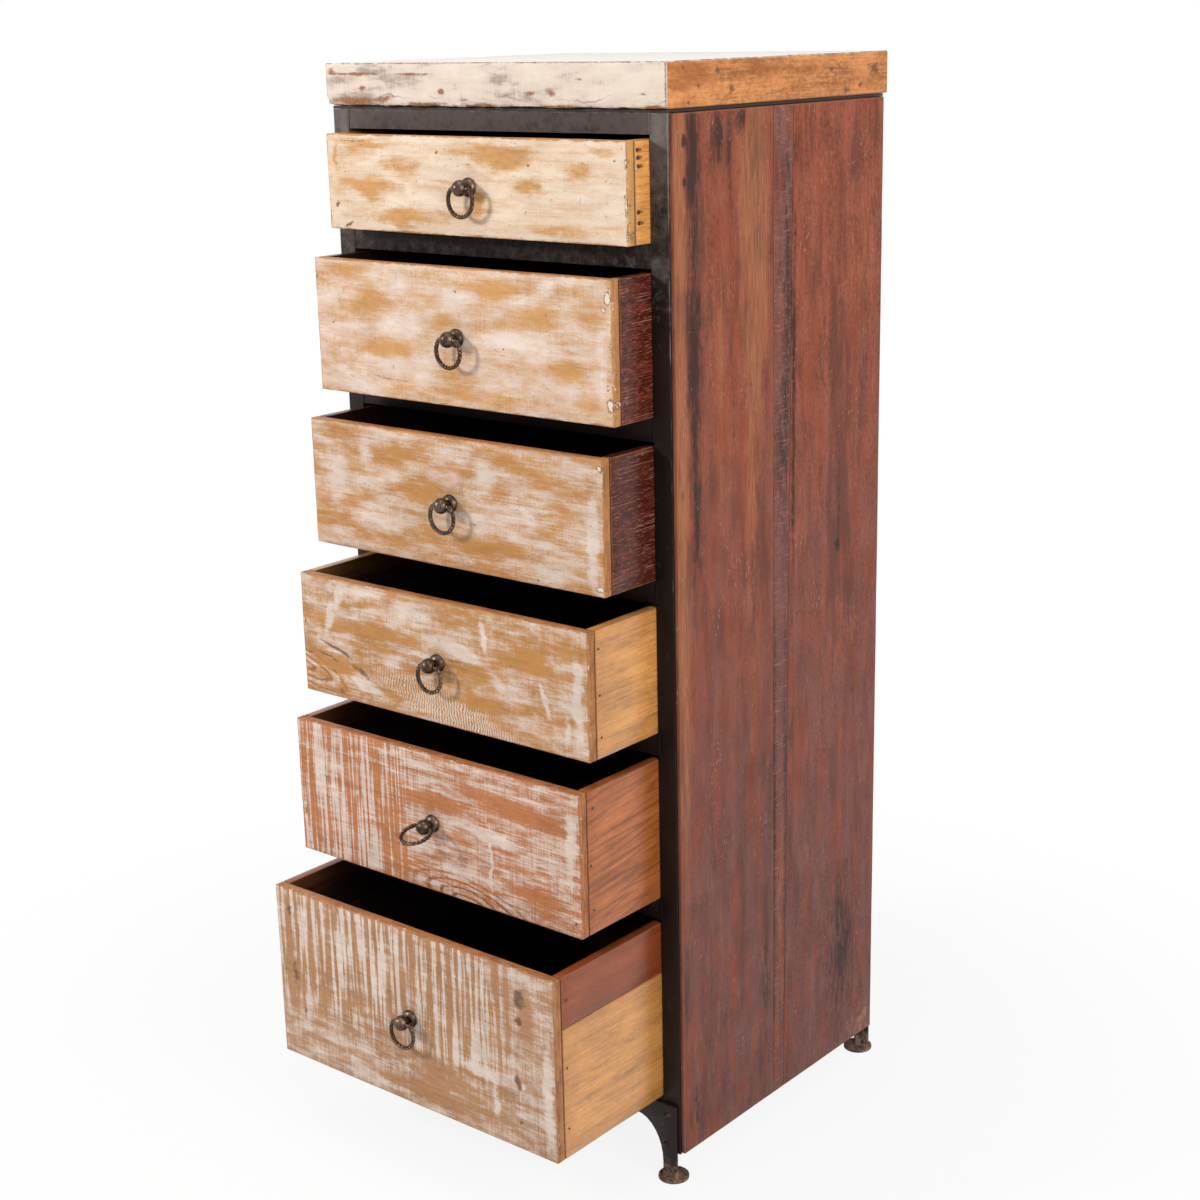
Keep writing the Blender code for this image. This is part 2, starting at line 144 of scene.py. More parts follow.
class ChestColours(bpy.types.PropertyGroup):
    """Colours of the finishes."""

    cream_paint: colour_of("Cream paint", "F5E1CA", "Old cream paint of the top drawer front")
    lime_wash: colour_of("Lime wash", "EBD9CD", "Rubbed lime wash of the drawer fronts")
    honey_wood: colour_of("Honey wood", "D29C60", "Softwood of the first and second drawer front")
    amber_wood: colour_of("Amber wood", "BD864A", "Softwood of the third and fourth drawer front")
    russet_wood: colour_of("Russet wood", "BE794B", "Wood of the fifth drawer front")
    brown_wood: colour_of("Brown wood", "B6875F", "Wood of the lowest drawer front")
    maroon_wood: colour_of("Maroon wood", "572216", "Stained wood of the second and third drawer")
    gold_wood: colour_of("Gold wood", "D3924E", "Bare wood of drawer sides")
    red_wood: colour_of("Red wood", "B66836", "Red-brown wood of drawer sides")
    umber_wood: colour_of("Umber wood", "934824", "Upper board of the side of the lowest drawer")
    panel_wood: colour_of("Panel wood", "8F4F3B", "Reclaimed boards of the sides")
    panel_dusk: colour_of("Panel dusk", "744C46", "Duller foot of the side boards")
    slab_wood: colour_of("Slab wood", "CE8852", "Bare wood of the top slab")
    # Painted shade: the near-black colour of the inside of the drawers
    inside_shade_colour: colour_of("Inside stain", "1C110C", "Dark stain inside the drawers")
    back_wood: colour_of("Back wood", "7A5B44", "Planks of the back and drawer bottoms")
    iron_paint: colour_of("Iron paint", "1F1613", "Black paint on the frame")
    foot_rust: colour_of("Foot rust", "8C7060", "Rust on the feet")
    pull_metal: colour_of("Pull metal", "5A4A40", "Aged metal of the pulls")


def add(tree, kind, inputs=None, out=0, ramp=None, **settings):
    """Adds one node with its settings and links: an input is a value or an output. Returns one output."""
    made = tree.nodes.new("ShaderNode" + kind)
    for key, value in settings.items():
        setattr(made, key, value)
    for key, value in (inputs or {}).items():
        if isinstance(value, bpy.types.NodeSocket):
            tree.links.new(value, made.inputs[key])
        else:
            made.inputs[key].default_value = value
    for i, (position, colour) in enumerate(ramp or ()):
        stop = made.color_ramp.elements[i] if i < 2 else made.color_ramp.elements.new(position)
        stop.position = position
        stop.color = colour
    return made.outputs[out] if made.outputs else None


def start_finish(name):
    """An empty material and the place on the piece, in metres."""
    material = bpy.data.materials.new(name)
    material.use_nodes = True
    tree = material.node_tree
    tree.nodes.clear()
    return material, tree, add(tree, "TexCoord", out="Object")


def end_finish(material, height, depth, colour, rough, gloss=0.5, metal=0.0):
    """Joins a surface to the output, with a relief whose depth is in mm. Returns the material.

    The roughness is set by a pattern, two levels of it, and what each of them gives.
    """
    tree = material.node_tree
    bump = add(tree, "Bump", {"Height": height, "Distance": depth / 1000, "Strength": 1.0})
    rough = add(tree, "MapRange", dict(enumerate(rough)))
    inputs = {"Base Color": colour, "Roughness": rough, "Normal": bump}
    inputs.update({"Specular IOR Level": gloss, "Metallic": metal})
    surface = add(tree, "BsdfPrincipled", inputs)
    add(tree, "OutputMaterial", {"Surface": surface})
    return material


def figure(tree, place, sizes, seed, detail=3.0, rough=0.55):
    """Cloudy figure from 0 to 1 whose blots are about as long as the sizes, in mm along X, Y and Z."""
    start = (7.3 * seed, 3.1 * seed, 5.7 * seed)
    scale = [1000 / size for size in sizes]
    spread = add(tree, "Mapping", {"Vector": place, "Location": start, "Scale": scale})
    inputs = {"Vector": spread, "Scale": 1.0, "Detail": detail, "Roughness": rough}
    return add(tree, "TexNoise", inputs, out="Fac")


def blended(tree, parts, start):
    """Sum of patterns, each with its weight."""
    total = start
    for pattern, weight in parts:
        total = add(tree, "Math", {0: pattern, 1: weight, 2: total}, operation="MULTIPLY_ADD")
    return total


def coated(tree, under, coat, pattern, start, full, most=1.0, **settings):
    """Lays a coat over a colour where a pattern passes between two levels. Returns colour and share."""
    share = add(tree, "MapRange", {0: pattern, 1: start, 2: full, 4: most}, **settings)
    return add(tree, "Mix", {0: share, 6: under, 7: coat}, **TINT), share


def spots(tree, place, marks):
    """Soft oval spots, each a centre, radii in mm, a turn about the face in degrees and a weight."""
    parts = []
    for centre, radii, turn, weight in marks:
        near = add(
            tree, "Mapping",
            {"Vector": place, "Location": centre, "Rotation": [math.radians(a) for a in turn],
             "Scale": [r / 1000 for r in radii]},
            vector_type="TEXTURE",
        )
        parts.append((add(tree, "TexGradient", {0: near}, out="Fac", gradient_type="SPHERICAL"), weight))
    return parts


def on_face(x, marks):
    """Spots on a face that looks along X, each how far back, how high, its radii in mm and its weight."""
    return [((x, y, z), (DEEP, across, tall), FLAT, weight) for y, z, across, tall, weight in marks]


def edge_gap(tree, place, low, high):
    """Distance in mm from the nearest edge of a box: the middle one of those from its pairs of faces."""
    off = add(tree, "VectorMath", {0: place, 1: (low + high) / 2}, operation="SUBTRACT")
    off = add(tree, "VectorMath", {0: off}, operation="ABSOLUTE")
    gap = add(tree, "VectorMath", {0: (high - low) / 2, 1: off}, operation="SUBTRACT")
    gap = add(tree, "VectorMath", {0: gap, 1: (1000.0, 1000.0, 1000.0)}, operation="MULTIPLY")
    a, b, c = add(tree, "SeparateXYZ", {0: gap}).node.outputs
    least = add(tree, "Math", {0: a, 1: b}, operation="MINIMUM")
    most = add(tree, "Math", {0: a, 1: b}, operation="MAXIMUM")
    rest = add(tree, "Math", {0: most, 1: c}, operation="MINIMUM")
    return add(tree, "Math", {0: least, 1: rest}, operation="MAXIMUM")


def grained(
    tree, place, along, tone, seed, contrast=1.0, tilt=0.0, dark=0.55, light=1.28, stretch=1.0,
    mix=(0.6, 0.9, 0.8, 0.9),
):
    """Sawn timber before any finish: bands, fibre, cloud and mottle, mixed by weight, and pores.

    All of them run along one axis. Returns its colour and its height.
    """
    turned = add(tree, "Mapping", {"Vector": place, "Rotation": (math.radians(tilt), 0.0, 0.0)})

    def sizes(length, across):
        return [length * stretch if axis == along else across for axis in (X, Y, Z)]

    bands = figure(tree, turned, sizes(300, 12), seed, 4.0, 0.6)
    fibre = figure(tree, turned, sizes(60, 1.7), seed + 1, 5.0, 0.65)
    cloud = figure(tree, turned, sizes(70, 34), seed + 2, 4.0, 0.6)
    mottle = figure(tree, turned, sizes(9, 4), seed + 2.5, 5.0, 0.7)
    pores = figure(tree, turned, sizes(12, 1.1), seed + 3, 2.0)
    parts = [(part, weight * contrast) for part, weight in zip((bands, fibre, cloud, mottle), mix)]
    tally = blended(tree, parts, 0.5 - 0.5 * sum(weight for _, weight in parts))
    colour = add(
        tree, "ValToRGB", {0: tally},
        ramp=((0.20, toned(tone, dark)), (0.80, toned(tone, light)), (0.5, tone)),
    )
    pore = add(tree, "MapRange", {0: pores, 1: 0.38, 2: 0.28, 3: 0.0, 4: 0.35})
    return add(tree, "Mix", {0: pore, 6: colour, 7: toned(tone, 0.4)}, **TINT), fibre


def front_finish(number, low, high, look, colours):
    """Drawer front: sawn softwood under lime wash or cream paint, brushed on and rubbed back to the wood.

    The eye gets soft pale smears along the board, bare honey wood between them, brown edges and a dull sheen.
    """
    material, tree, place = start_finish(f"rubbed_limewash_front_{number}")
    tone = shade(getattr(colours, look["wood"]), look["deep"])
    paint = shade(getattr(colours, look["paint"]), look["pale"])
    seed = 11.0 * number
    wood, fibre = grained(tree, place, X, tone, seed, look["grain"], 0.0, 0.66, 1.22)
    wide, rise = high.x - low.x, high.z - low.z
    drift = Vector((0.020, 0.0, 0.009))

    def at(u, v):
        return Vector((low.x + u * wide, low.y, low.z + v * rise)) + drift / 2

    def set_out(marks, shift):
        return [
            (at(u, v) + shift, (ru, THROUGH, rv), (0.0, turn, 0.0), weight)
            for u, v, ru, rv, turn, weight in marks
        ]

    # The marks are bent by a slow drift, so that none of them is a clean oval
    scale = (1000 / 45, 1000 / 45, 1000 / 18)
    bend = add(tree, "Mapping", {"Vector": place, "Scale": scale, "Location": (seed, 0, 0)})
    bend = add(tree, "TexNoise", {"Vector": bend, "Scale": 1.0, "Detail": 4.0, "Roughness": 0.6}, out="Color")
    bent = add(tree, "VectorMath", {0: bend, 1: drift, 2: place}, operation="MULTIPLY_ADD")
    sway = drift * look["sway"]
    swayed = add(tree, "VectorMath", {0: bend, 1: sway, 2: place}, operation="MULTIPLY_ADD")

    # Cover of the wash: broad smears, patches, brush lines, cross scratches, tooth, and listed marks
    long, tall = look["blot"]
    smear = figure(tree, place, (long, long, tall), seed + 4, 2.5, 0.5)
    patch = figure(tree, place, (0.4 * long, long, 0.4 * tall), seed + 4.5, 5.0, 0.65)
    brush = figure(tree, place, (60, 60, 1.8), seed + 5, 4.0, 0.65)
    cross = figure(tree, place, (1.8, 60, 45), seed + 6, 3.0, 0.6)
    tooth = figure(tree, place, (2.6, 2.6, 1.7), seed + 6.5, 3.0, 0.65)
    parts = [(smear, look["smear"]), (patch, look["patch"]), (brush, look["brush"]), (cross, look["cross"])]
    parts.append((tooth, 0.9))
    still = 0.5 * sum(weight for _, weight in parts)
    parts += spots(tree, swayed, set_out(look["marks"], (sway - drift) / 2))
    if "stripes" in look:
        pitch, left, foot, weight = look["stripes"]
        saw = figure(tree, place, (pitch, 60, 130), seed + 7, 3.5, 0.6)
        saw = add(tree, "MapRange", {0: saw, 1: 0.38, 2: 0.64, 3: -0.5, 4: 0.5}, **SOFT)
        x, _, z = add(tree, "SeparateXYZ", {0: bent}).node.outputs
        edge = at(left, foot)
        zone = add(tree, "MapRange", {0: x, 1: edge.x + 0.05, 2: edge.x - 0.05}, **SOFT)
        lift = add(tree, "MapRange", {0: z, 1: edge.z - 0.03, 2: edge.z + 0.03}, **SOFT)
        zone = add(tree, "Math", {0: zone, 1: lift}, operation="MULTIPLY")
        parts.append((add(tree, "Math", {0: saw, 1: zone}, operation="MULTIPLY"), weight))
    if "comb" in look:
        pitch, u, v, ru, rv, weight = look["comb"]
        teeth = add(tree, "Mapping", {"Vector": bent, "Scale": (1000 / pitch, 8.0, 8.0)})
        teeth = add(
            tree, "TexWave", {"Vector": teeth, "Scale": 0.314, "Distortion": 0.4, "Detail": 1.0},
            out="Fac", bands_direction="X",
        )
        (zone, _), = spots(tree, bent, ((at(u, v), (ru, THROUGH, rv), (0.0, 14.0, 0.0), 1.0),))
        teeth = add(tree, "Math", {0: teeth, 1: 0.5}, operation="SUBTRACT")
        parts.append((add(tree, "Math", {0: teeth, 1: zone}, operation="MULTIPLY"), weight))
    grain_marks = []
    for u, v, ru, rv, turn, rings, weight in look["whorls"]:
        # Nested ovals where the saw met a hump in the grain
        near = add(
            tree, "Mapping",
            {"Vector": bent, "Location": at(u, v), "Rotation": (0.0, math.radians(turn), 0.0),
             "Scale": (ru / 1000, 1.0, rv / 1000)},
            vector_type="TEXTURE",
        )
        out = add(tree, "VectorMath", {0: near}, out="Value", operation="LENGTH")
        ring = add(tree, "Math", {0: out, 1: float(rings)}, operation="MULTIPLY")
        ring = add(tree, "Math", {0: ring, 1: 0.5}, operation="PINGPONG")
        ring = add(tree, "MapRange", {0: ring, 1: 0.30, 2: 0.05}, **SOFT)
        zone = add(tree, "MapRange", {0: out, 1: 1.0, 2: 0.5}, **SOFT)
        ring = add(tree, "Math", {0: ring, 1: zone}, operation="MULTIPLY")
        grain_marks.append((ring, weight))
        parts.append((ring, -0.9 * weight))
    cover = blended(tree, parts, look["cover"] - still)
    soft = look["soft"]
    wash = add(tree, "MapRange", {0: cover, 1: 0.5 - soft, 2: 0.5 + soft}, **SOFT)

    # The wash lies on the face alone and is worn off along its edges
    gap = edge_gap(tree, place, low, high)
    ragged = figure(tree, place, (16, 16, 16), seed + 8, 4.0, 0.7)
    worn = blended(tree, ((ragged, -7.5), (gap, 1.0)), 2.0)
    worn = add(tree, "MapRange", {0: worn, 1: -1.2, 2: 0.5}, **SOFT)
    depth = add(tree, "SeparateXYZ", {0: place}, out=1)
    lap = figure(tree, place, (7, 7, 9), seed + 8.5, 5.0, 0.7)
    lap = add(tree, "MapRange", {0: lap, 1: 0.54, 2: 0.72, 3: 0.0, 4: 0.006})
    depth = add(tree, "Math", {0: depth, 1: lap}, operation="SUBTRACT")
    face = add(tree, "MapRange", {0: depth, 1: low.y + 0.0012, 2: low.y + 0.0008})
    wash = add(tree, "Math", {0: wash, 1: worn}, operation="MULTIPLY")
    wash = add(tree, "Math", {0: wash, 1: face}, operation="MULTIPLY")

    # Edges rubbed to brown, then knots and grease that soaked in before the wash
    rubbed = add(tree, "MapRange", {0: worn, 1: 0.0, 2: 1.0, 3: 0.65, 4: 0.12})
    rubbed = add(tree, "MapRange", {0: face, 1: 0.0, 2: 1.0, 3: look["ends"], 4: rubbed})
    layer = figure(tree, place, (30, 1.6, 26), seed + 8.2, 4.0, 0.65)
    layer = blended(tree, ((layer, 1.0), (ragged, 0.6)), -0.3)
    burnt = add(tree, "ValToRGB", {0: layer}, ramp=((0.36, linear("784428")), (0.62, linear("B97A4A"))))
    wood = add(tree, "Mix", {0: rubbed, 6: wood, 7: burnt}, **TINT)
    fade = figure(tree, place, (70, 70, 30), seed + 9, 3.0)
    chalk = add(tree, "ValToRGB", {0: fade}, ramp=((0.3, shade(paint, 0.9)), (0.7, shade(paint, 1.05))))
    film = figure(tree, place, (26, 26, 8), seed + 9.5, 5.0, 0.65)
    film = add(tree, "MapRange", {0: film, 1: 0.34, 2: 0.62, 3: 0.66, 4: 0.98})
    share = add(tree, "Math", {0: wash, 1: film}, operation="MULTIPLY")
    colour = add(tree, "Mix", {0: share, 6: wood, 7: chalk}, **TINT)
    dots = spots(tree, bent, set_out(look["stains"], Vector()))
    crumb = figure(tree, place, (9, 9, 6), seed + 10, 4.0, 0.7)
    grime = blended(tree, dots + grain_marks + [(crumb, 1.6)], -0.8)
    colour, grime = coated(tree, colour, linear("5E3D2A"), grime, 0.22, 0.8, 0.8, **SOFT)

    # Flakes knocked off the corners: pale wood inside a dark, broken rim
    flakes = spots(tree, place, set_out(look["flakes"], -drift / 2))
    flake = blended(tree, flakes + [(crumb, 1.2), (tooth, 1.4)], -1.3)
    colour, rim = coated(tree, colour, linear("6E482E"), flake, 0.26, 0.40, 0.75, **SOFT)
    colour, _ = coated(tree, colour, linear("EEDDC8"), flake, 0.50, 0.62, 0.9, **SOFT)
    relief = ((fibre, 0.4), (wash, 0.35), (cross, 0.3), (tooth, 0.3), (grime, -0.6), (rim, -0.8))
    height = blended(tree, relief, 0.0)
    rough = (wash, 0.0, 1.0, 0.5, 0.66)
    return end_finish(material, height, 0.35, colour, rough, gloss=0.25)


# How the wood of a drawer side is drawn: its contrast, the darkest and the lightest share of its colour, the
# gloss of its lacquer, and the weights of its bands, fibre, cloud and mottle
SIDE_GRAINS = {
    "gold_wood": (1.1, 0.58, 1.26, 0.8, (0.5, 1.0, 0.7, 0.6)),
    "maroon_wood": (1.25, 0.40, 2.10, 0.3, (0.3, 1.0, 0.6, 1.1)),
    "red_wood": (1.2, 0.54, 1.34, 0.5, (0.7, 0.7, 0.9, 0.4)),
    "umber_wood": (0.9, 0.66, 1.32, 0.5, (0.8, 0.40, 1.0, 0.30)),
}


def side_finish(name, tone, low, high, seed, look, grain, weeps):
    """Drawer side: planed and lacquered hardwood; long grain under a pale gloss, with painted shade deepening
    it by the post.
    """
    material, tree, place = start_finish(name)
    contrast, dark, light, gloss, mix = grain
    tilt = look["tilt"]
    wood, fibre = grained(tree, place, Y, tone, seed, contrast, tilt, dark, light, 1.0, mix)
    slope = add(tree, "Mapping", {"Vector": place, "Rotation": (math.radians(tilt), 0.0, 0.0)})

    # Dark growth lines that wander along the board
    vein = figure(tree, slope, (300, 300, 22), seed + 3.5, 2.0, 0.4)
    vein = blended(tree, ((vein, 12.0), (fibre, 0.6)), 0.0)
    vein = add(tree, "Math", {0: vein, 1: 1.0}, operation="PINGPONG")
    wood, _ = coated(tree, wood, toned(tone, 0.40), vein, 0.45, 0.0, look["lines"], **SOFT)

    # Old varnish has gathered along the edges and in patches
    gap = edge_gap(tree, place, low, high)
    patch = figure(tree, place, (60, 60, 26), seed + 5, 5.0, 0.65)
    brown = blended(tree, ((patch, -62.0),), gap)
    brown = add(tree, "MapRange", {0: brown, 1: -28.0, 2: 0.0, 3: 0.35, 4: 0.0}, **SOFT)
    wood = add(tree, "Mix", {0: brown, 6: wood, 7: toned(tone, 0.55)}, **TINT)

    # Painted shade: the wood inside the frame, by the post, is painted deeper
    y = add(tree, "SeparateXYZ", {0: place}, out=1)
    y = blended(tree, ((patch, 0.012),), y)
    wood, _ = coated(tree, wood, toned(tone, 0.50), y, -0.146, -0.112, look["kept"], **SOFT)

    # Pale scratches along the board
    scored = figure(tree, slope, (110, 110, 0.9), seed + 4, 2.0)
    scored = blended(tree, ((patch, 0.7),), scored)
    limit = 1.20 - 0.12 * look["scratches"]
    scored = add(tree, "MapRange", {0: scored, 1: limit - 0.05, 2: limit + 0.05, 4: 0.7})
    tick = figure(tree, slope, (8, 8, 0.9), seed + 4.4, 1.0)
    tick = add(tree, "MapRange", {0: tick, 1: 0.60, 2: 0.72, 4: 0.4 * min(1.0, look["scratches"])})
    scored = add(tree, "Math", {0: scored, 1: tick}, operation="MAXIMUM")
    colour = add(tree, "Mix", {0: scored, 6: wood, 7: linear("C08A78")}, **TINT)
    ragged = figure(tree, place, (14, 14, 14), seed + 6, 4.0, 0.7)
    worn = blended(tree, ((ragged, -3.6),), gap)
    worn = add(tree, "MapRange", {0: worn, 1: -1.2, 2: 0.4, 3: 0.6, 4: 0.0}, **SOFT)
    colour = add(tree, "Mix", {0: worn, 6: colour, 7: linear("8E5638")}, **TINT)

    # Rust has bled from the nails along the grain
    weep = blended(tree, spots(tree, place, weeps) + [(ragged, 1.2)], -0.6)
    colour, _ = coated(tree, colour, linear("58331F"), weep, 0.25, 0.8, 0.8, **SOFT)
    rough = (fibre, 0.3, 0.7, 0.20, 0.32)
    return end_finish(material, fibre, 0.15, colour, rough, gloss=gloss)


def panel_finish(name, tone, dusk, low, high, seed, marks, ridges, soft):
    """Side board: reclaimed hardwood, stained and waxed; upright grain, dark streaks, specks, low sheen."""
    material, tree, place = start_finish(name)
    stains, glows, fumes, scars = marks
    z = add(tree, "SeparateXYZ", {0: place}, out=2)
    wood, fibre = grained(tree, place, Z, tone, seed, 1.0, 0.0, 0.52, 1.34, 0.6, soft)
    dull, _ = grained(tree, place, Z, dusk, seed + 0.5, 0.9, 0.0, 0.6, 1.3, 0.6, soft)
    patch = figure(tree, place, (60, 40, 160), seed + 4, 5.0, 0.65)
    foot = blended(tree, ((z, -1.0), (patch, 0.9)), 0.15)
    foot = add(tree, "MapRange", {0: foot, 1: -0.45, 2: 0.40}, **SOFT)
    colour = add(tree, "Mix", {0: foot, 6: wood, 7: dull}, **TINT)

    # Redder and warmer zones
    ragged = figure(tree, place, (30, 7, 26), seed + 5, 6.0, 0.72)
    blush = figure(tree, place, (60, 18, 90), seed + 5.5, 3.5, 0.5)
    colour, _ = coated(tree, colour, linear("96462C"), blush, 0.47, 0.66, 0.42, **SOFT)
    haze = figure(tree, place, (40, 12, 60), seed + 5.8, 4.0, 0.55)
    glow = blended(tree, spots(tree, place, glows) + [(ragged, 0.9), (haze, 1.6)], -1.25)
    glow = add(tree, "MapRange", {0: glow, 1: 0.0, 2: 0.85, 4: 0.75}, **SOFT)
    warm = add(tree, "ValToRGB", {0: fibre}, ramp=((0.32, linear("8A4E32")), (0.68, linear("BC815C"))))
    colour = add(tree, "Mix", {0: glow, 6: colour, 7: warm}, **TINT)

    # Old stains run down the grain, with ragged edges and smoky patches between them
    smoke = figure(tree, place, (60, 20, 100), seed + 6.2, 4.0, 0.55)
    smoke = blended(tree, spots(tree, place, fumes), smoke)
    colour, _ = coated(tree, colour, linear("57362F"), smoke, 0.48, 0.74, 0.6, **SOFT)
    streak = figure(tree, place, (30, 3.4, 46), seed + 6, 6.0, 0.7)
    crumb = figure(tree, place, (14, 7, 16), seed + 6.5, 6.0, 0.75)
    soak = blended(tree, spots(tree, place, stains) + [(streak, 1.5), (crumb, 2.0)], -1.75)
    colour, _ = coated(tree, colour, linear("352622"), soak, 0.14, 0.90, 0.88, **SOFT)
    colour, _ = coated(tree, colour, linear("4A2A24"), streak, 0.38, 0.26, 0.3, **SOFT)

    # Pale specks and scrapes where the stain is knocked off
    fleck = figure(tree, place, (4, 2.2, 6.5), seed + 7, 1.0)
    field = figure(tree, place, (60, 40, 70), seed + 8, 4.0, 0.6)
    fleck = blended(tree, ((field, 0.6), (z, 0.05)), fleck)
    colour, fleck = coated(tree, colour, linear("C2A397"), fleck, 1.05, 1.15, 0.45)
    graze = figure(tree, place, (30, 9, 16), seed + 9, 6.0, 0.75)
    graze = blended(tree, spots(tree, place, scars), graze)
    colour, _ = coated(tree, colour, linear("B98A74"), graze, 0.64, 0.76, 0.5)

    # Ridges left across the board by a coarse scraper
    ridge = figure(tree, place, (30, 16, 2.4), seed + 10, 3.0, 0.6)
    colour, ridge = coated(tree, colour, linear("A9796A"), ridge, 0.56, 0.70, ridges)

    # Arrises rubbed to bare wood
    gap = edge_gap(tree, place, low, high)
    worn = blended(tree, ((ragged, -4.0),), gap)
    worn = add(tree, "MapRange", {0: worn, 1: -1.2, 2: 0.6, 3: 0.5, 4: 0.0}, **SOFT)
    colour = add(tree, "Mix", {0: worn, 6: colour, 7: linear("9A6444")}, **TINT)
    height = blended(tree, ((fibre, 0.5), (streak, 0.5), (crumb, 0.4), (fleck, -0.4), (ridge, 1.2)), 0.0)
    rough = (crumb, 0.3, 0.7, 0.56, 0.42)
    return end_finish(material, height, 0.45, colour, rough, gloss=0.11)


# Weights of the bands, fibre, cloud and mottle in the boards of a side
PANEL_GRAINS = {
    "front": (0.6, 0.60, 0.85, 0.8),
    "middle": (0.6, 0.60, 0.90, 0.8),
    "rear": (0.6, 0.70, 0.85, 1.3),
}

# The colour of each board of a side, its brightness, and the brightness of its duller foot
PANEL_TONES = {
    "front": ("panel_wood", 1.03, 0.97),
    "middle": ("panel_dusk", 1.18, 0.97),
    "rear": ("panel_wood", 1.07, 1.07),
}

# How far back the joints between the boards of a side lie, each at the top and at the foot
PANEL_JOINTS = {
    "right": ((0.0732, 0.0755), (0.1092, 0.0955)),
    "left": ((-0.0150, -0.0110), (0.1290, 0.1340)),
}

# Stains, warm zones, smoky bands and torn places of the boards of the right side, and of every board of the
# left one: how far back and how high each is, its radii in mm and its weight
PANEL_MARKS = {
    "front": (
        (
            (-0.0650, 1.12, 18, 130, 1.1), (-0.0650, 0.93, 19, 130, 1.1), (-0.0630, 0.76, 14, 150, 0.9),
            (-0.0230, 1.130, 15, 46, 1.2), (0.0160, 1.146, 18, 24, 0.9), (-0.0060, 1.112, 10, 60, 0.6),
            (0.0600, 0.20, 14, 240, 0.5), (-0.0700, 0.08, 26, 60, 0.6), (-0.0800, 1.128, 6, 8, 1.3),
            (-0.0795, 1.089, 5, 6, 1.2),
        ),
        (
            (-0.0870, 0.90, 15, 700, 1.4), (0.0380, 1.02, 34, 260, 1.2), (0.0340, 0.72, 26, 190, 0.5),
            (-0.0200, 0.85, 20, 360, 0.3),
        ),
        ((-0.0650, 1.00, 20, 420, 0.25),),
        (),
    ),
    "middle": (
        (
            (0.1000, 0.98, 16, 200, 0.9), (0.0900, 0.80, 20, 120, 0.8), (0.0760, 0.42, 5, 400, 0.8),
            (0.0960, 0.42, 5, 400, 0.7),
        ),
        ((0.0860, 0.25, 12, 330, 0.3),),
        (),
        (),
    ),
    "rear": (
        (
            (0.1110, 0.85, 7, 330, 1.0), (0.2000, 0.70, 9, 60, 0.6), (0.1984, 0.666, 7, 9, 1.3),
            (0.2150, 0.16, 50, 170, 0.75),
        ),
        ((0.2450, 0.95, 18, 200, 0.4),),
        ((0.2050, 0.78, 34, 300, 0.30),),
        ((0.2640, 0.052, 52, 32, 0.26),),
    ),
    "left": (
        ((0.02, 0.9, 14, 320, 0.9), (0.2, 0.3, 30, 260, 0.6)),
        ((-0.05, 0.7, 24, 600, 0.7),),
        (),
        (),
    ),
}

# Knots in the end of the slab: how far back and how high by share, and the radius in mm
SLAB_KNOTS = (
    (0.07, 0.84, 3), (0.21, 0.76, 9), (0.27, 0.34, 8), (0.72, 0.62, 8), (0.79, 0.14, 9), (0.86, 0.24, 7),
    (0.93, 0.60, 16), (0.13, 0.45, 4), (0.09, 0.12, 4),
)

# Chips in the front edge of the slab: a rubbed line near the top left, spots, a bare patch at the lower left
# corner. Each is its place across and up by share, its radii in mm and its weight
SLAB_CHIPS = (
    (0.10, 0.74, 50, 2.6, 1.5), (0.28, 0.73, 45, 2.2, 1.3), (0.37, 0.34, 7, 5, 1.8), (0.10, 0.12, 60, 7, 1.7),
    (0.12, 0.40, 9, 5, 1.3), (0.63, 0.32, 12, 4, 1.2), (0.69, 0.32, 12, 5, 1.3), (0.94, 0.31, 9, 2, 1.2),
    (0.77, 0.62, 7, 3, 0.9), (0.02, 0.80, 9, 6, 1.2), (0.97, 0.05, 26, 3, 1.4), (0.50, 0.04, 50, 4, 1.2),
    (0.32, 0.05, 50, 4, 1.4), (0.72, 0.03, 60, 4, 1.1), (0.20, 0.20, 20, 5, 1.0), (0.44, 0.16, 16, 4, 0.9),
)


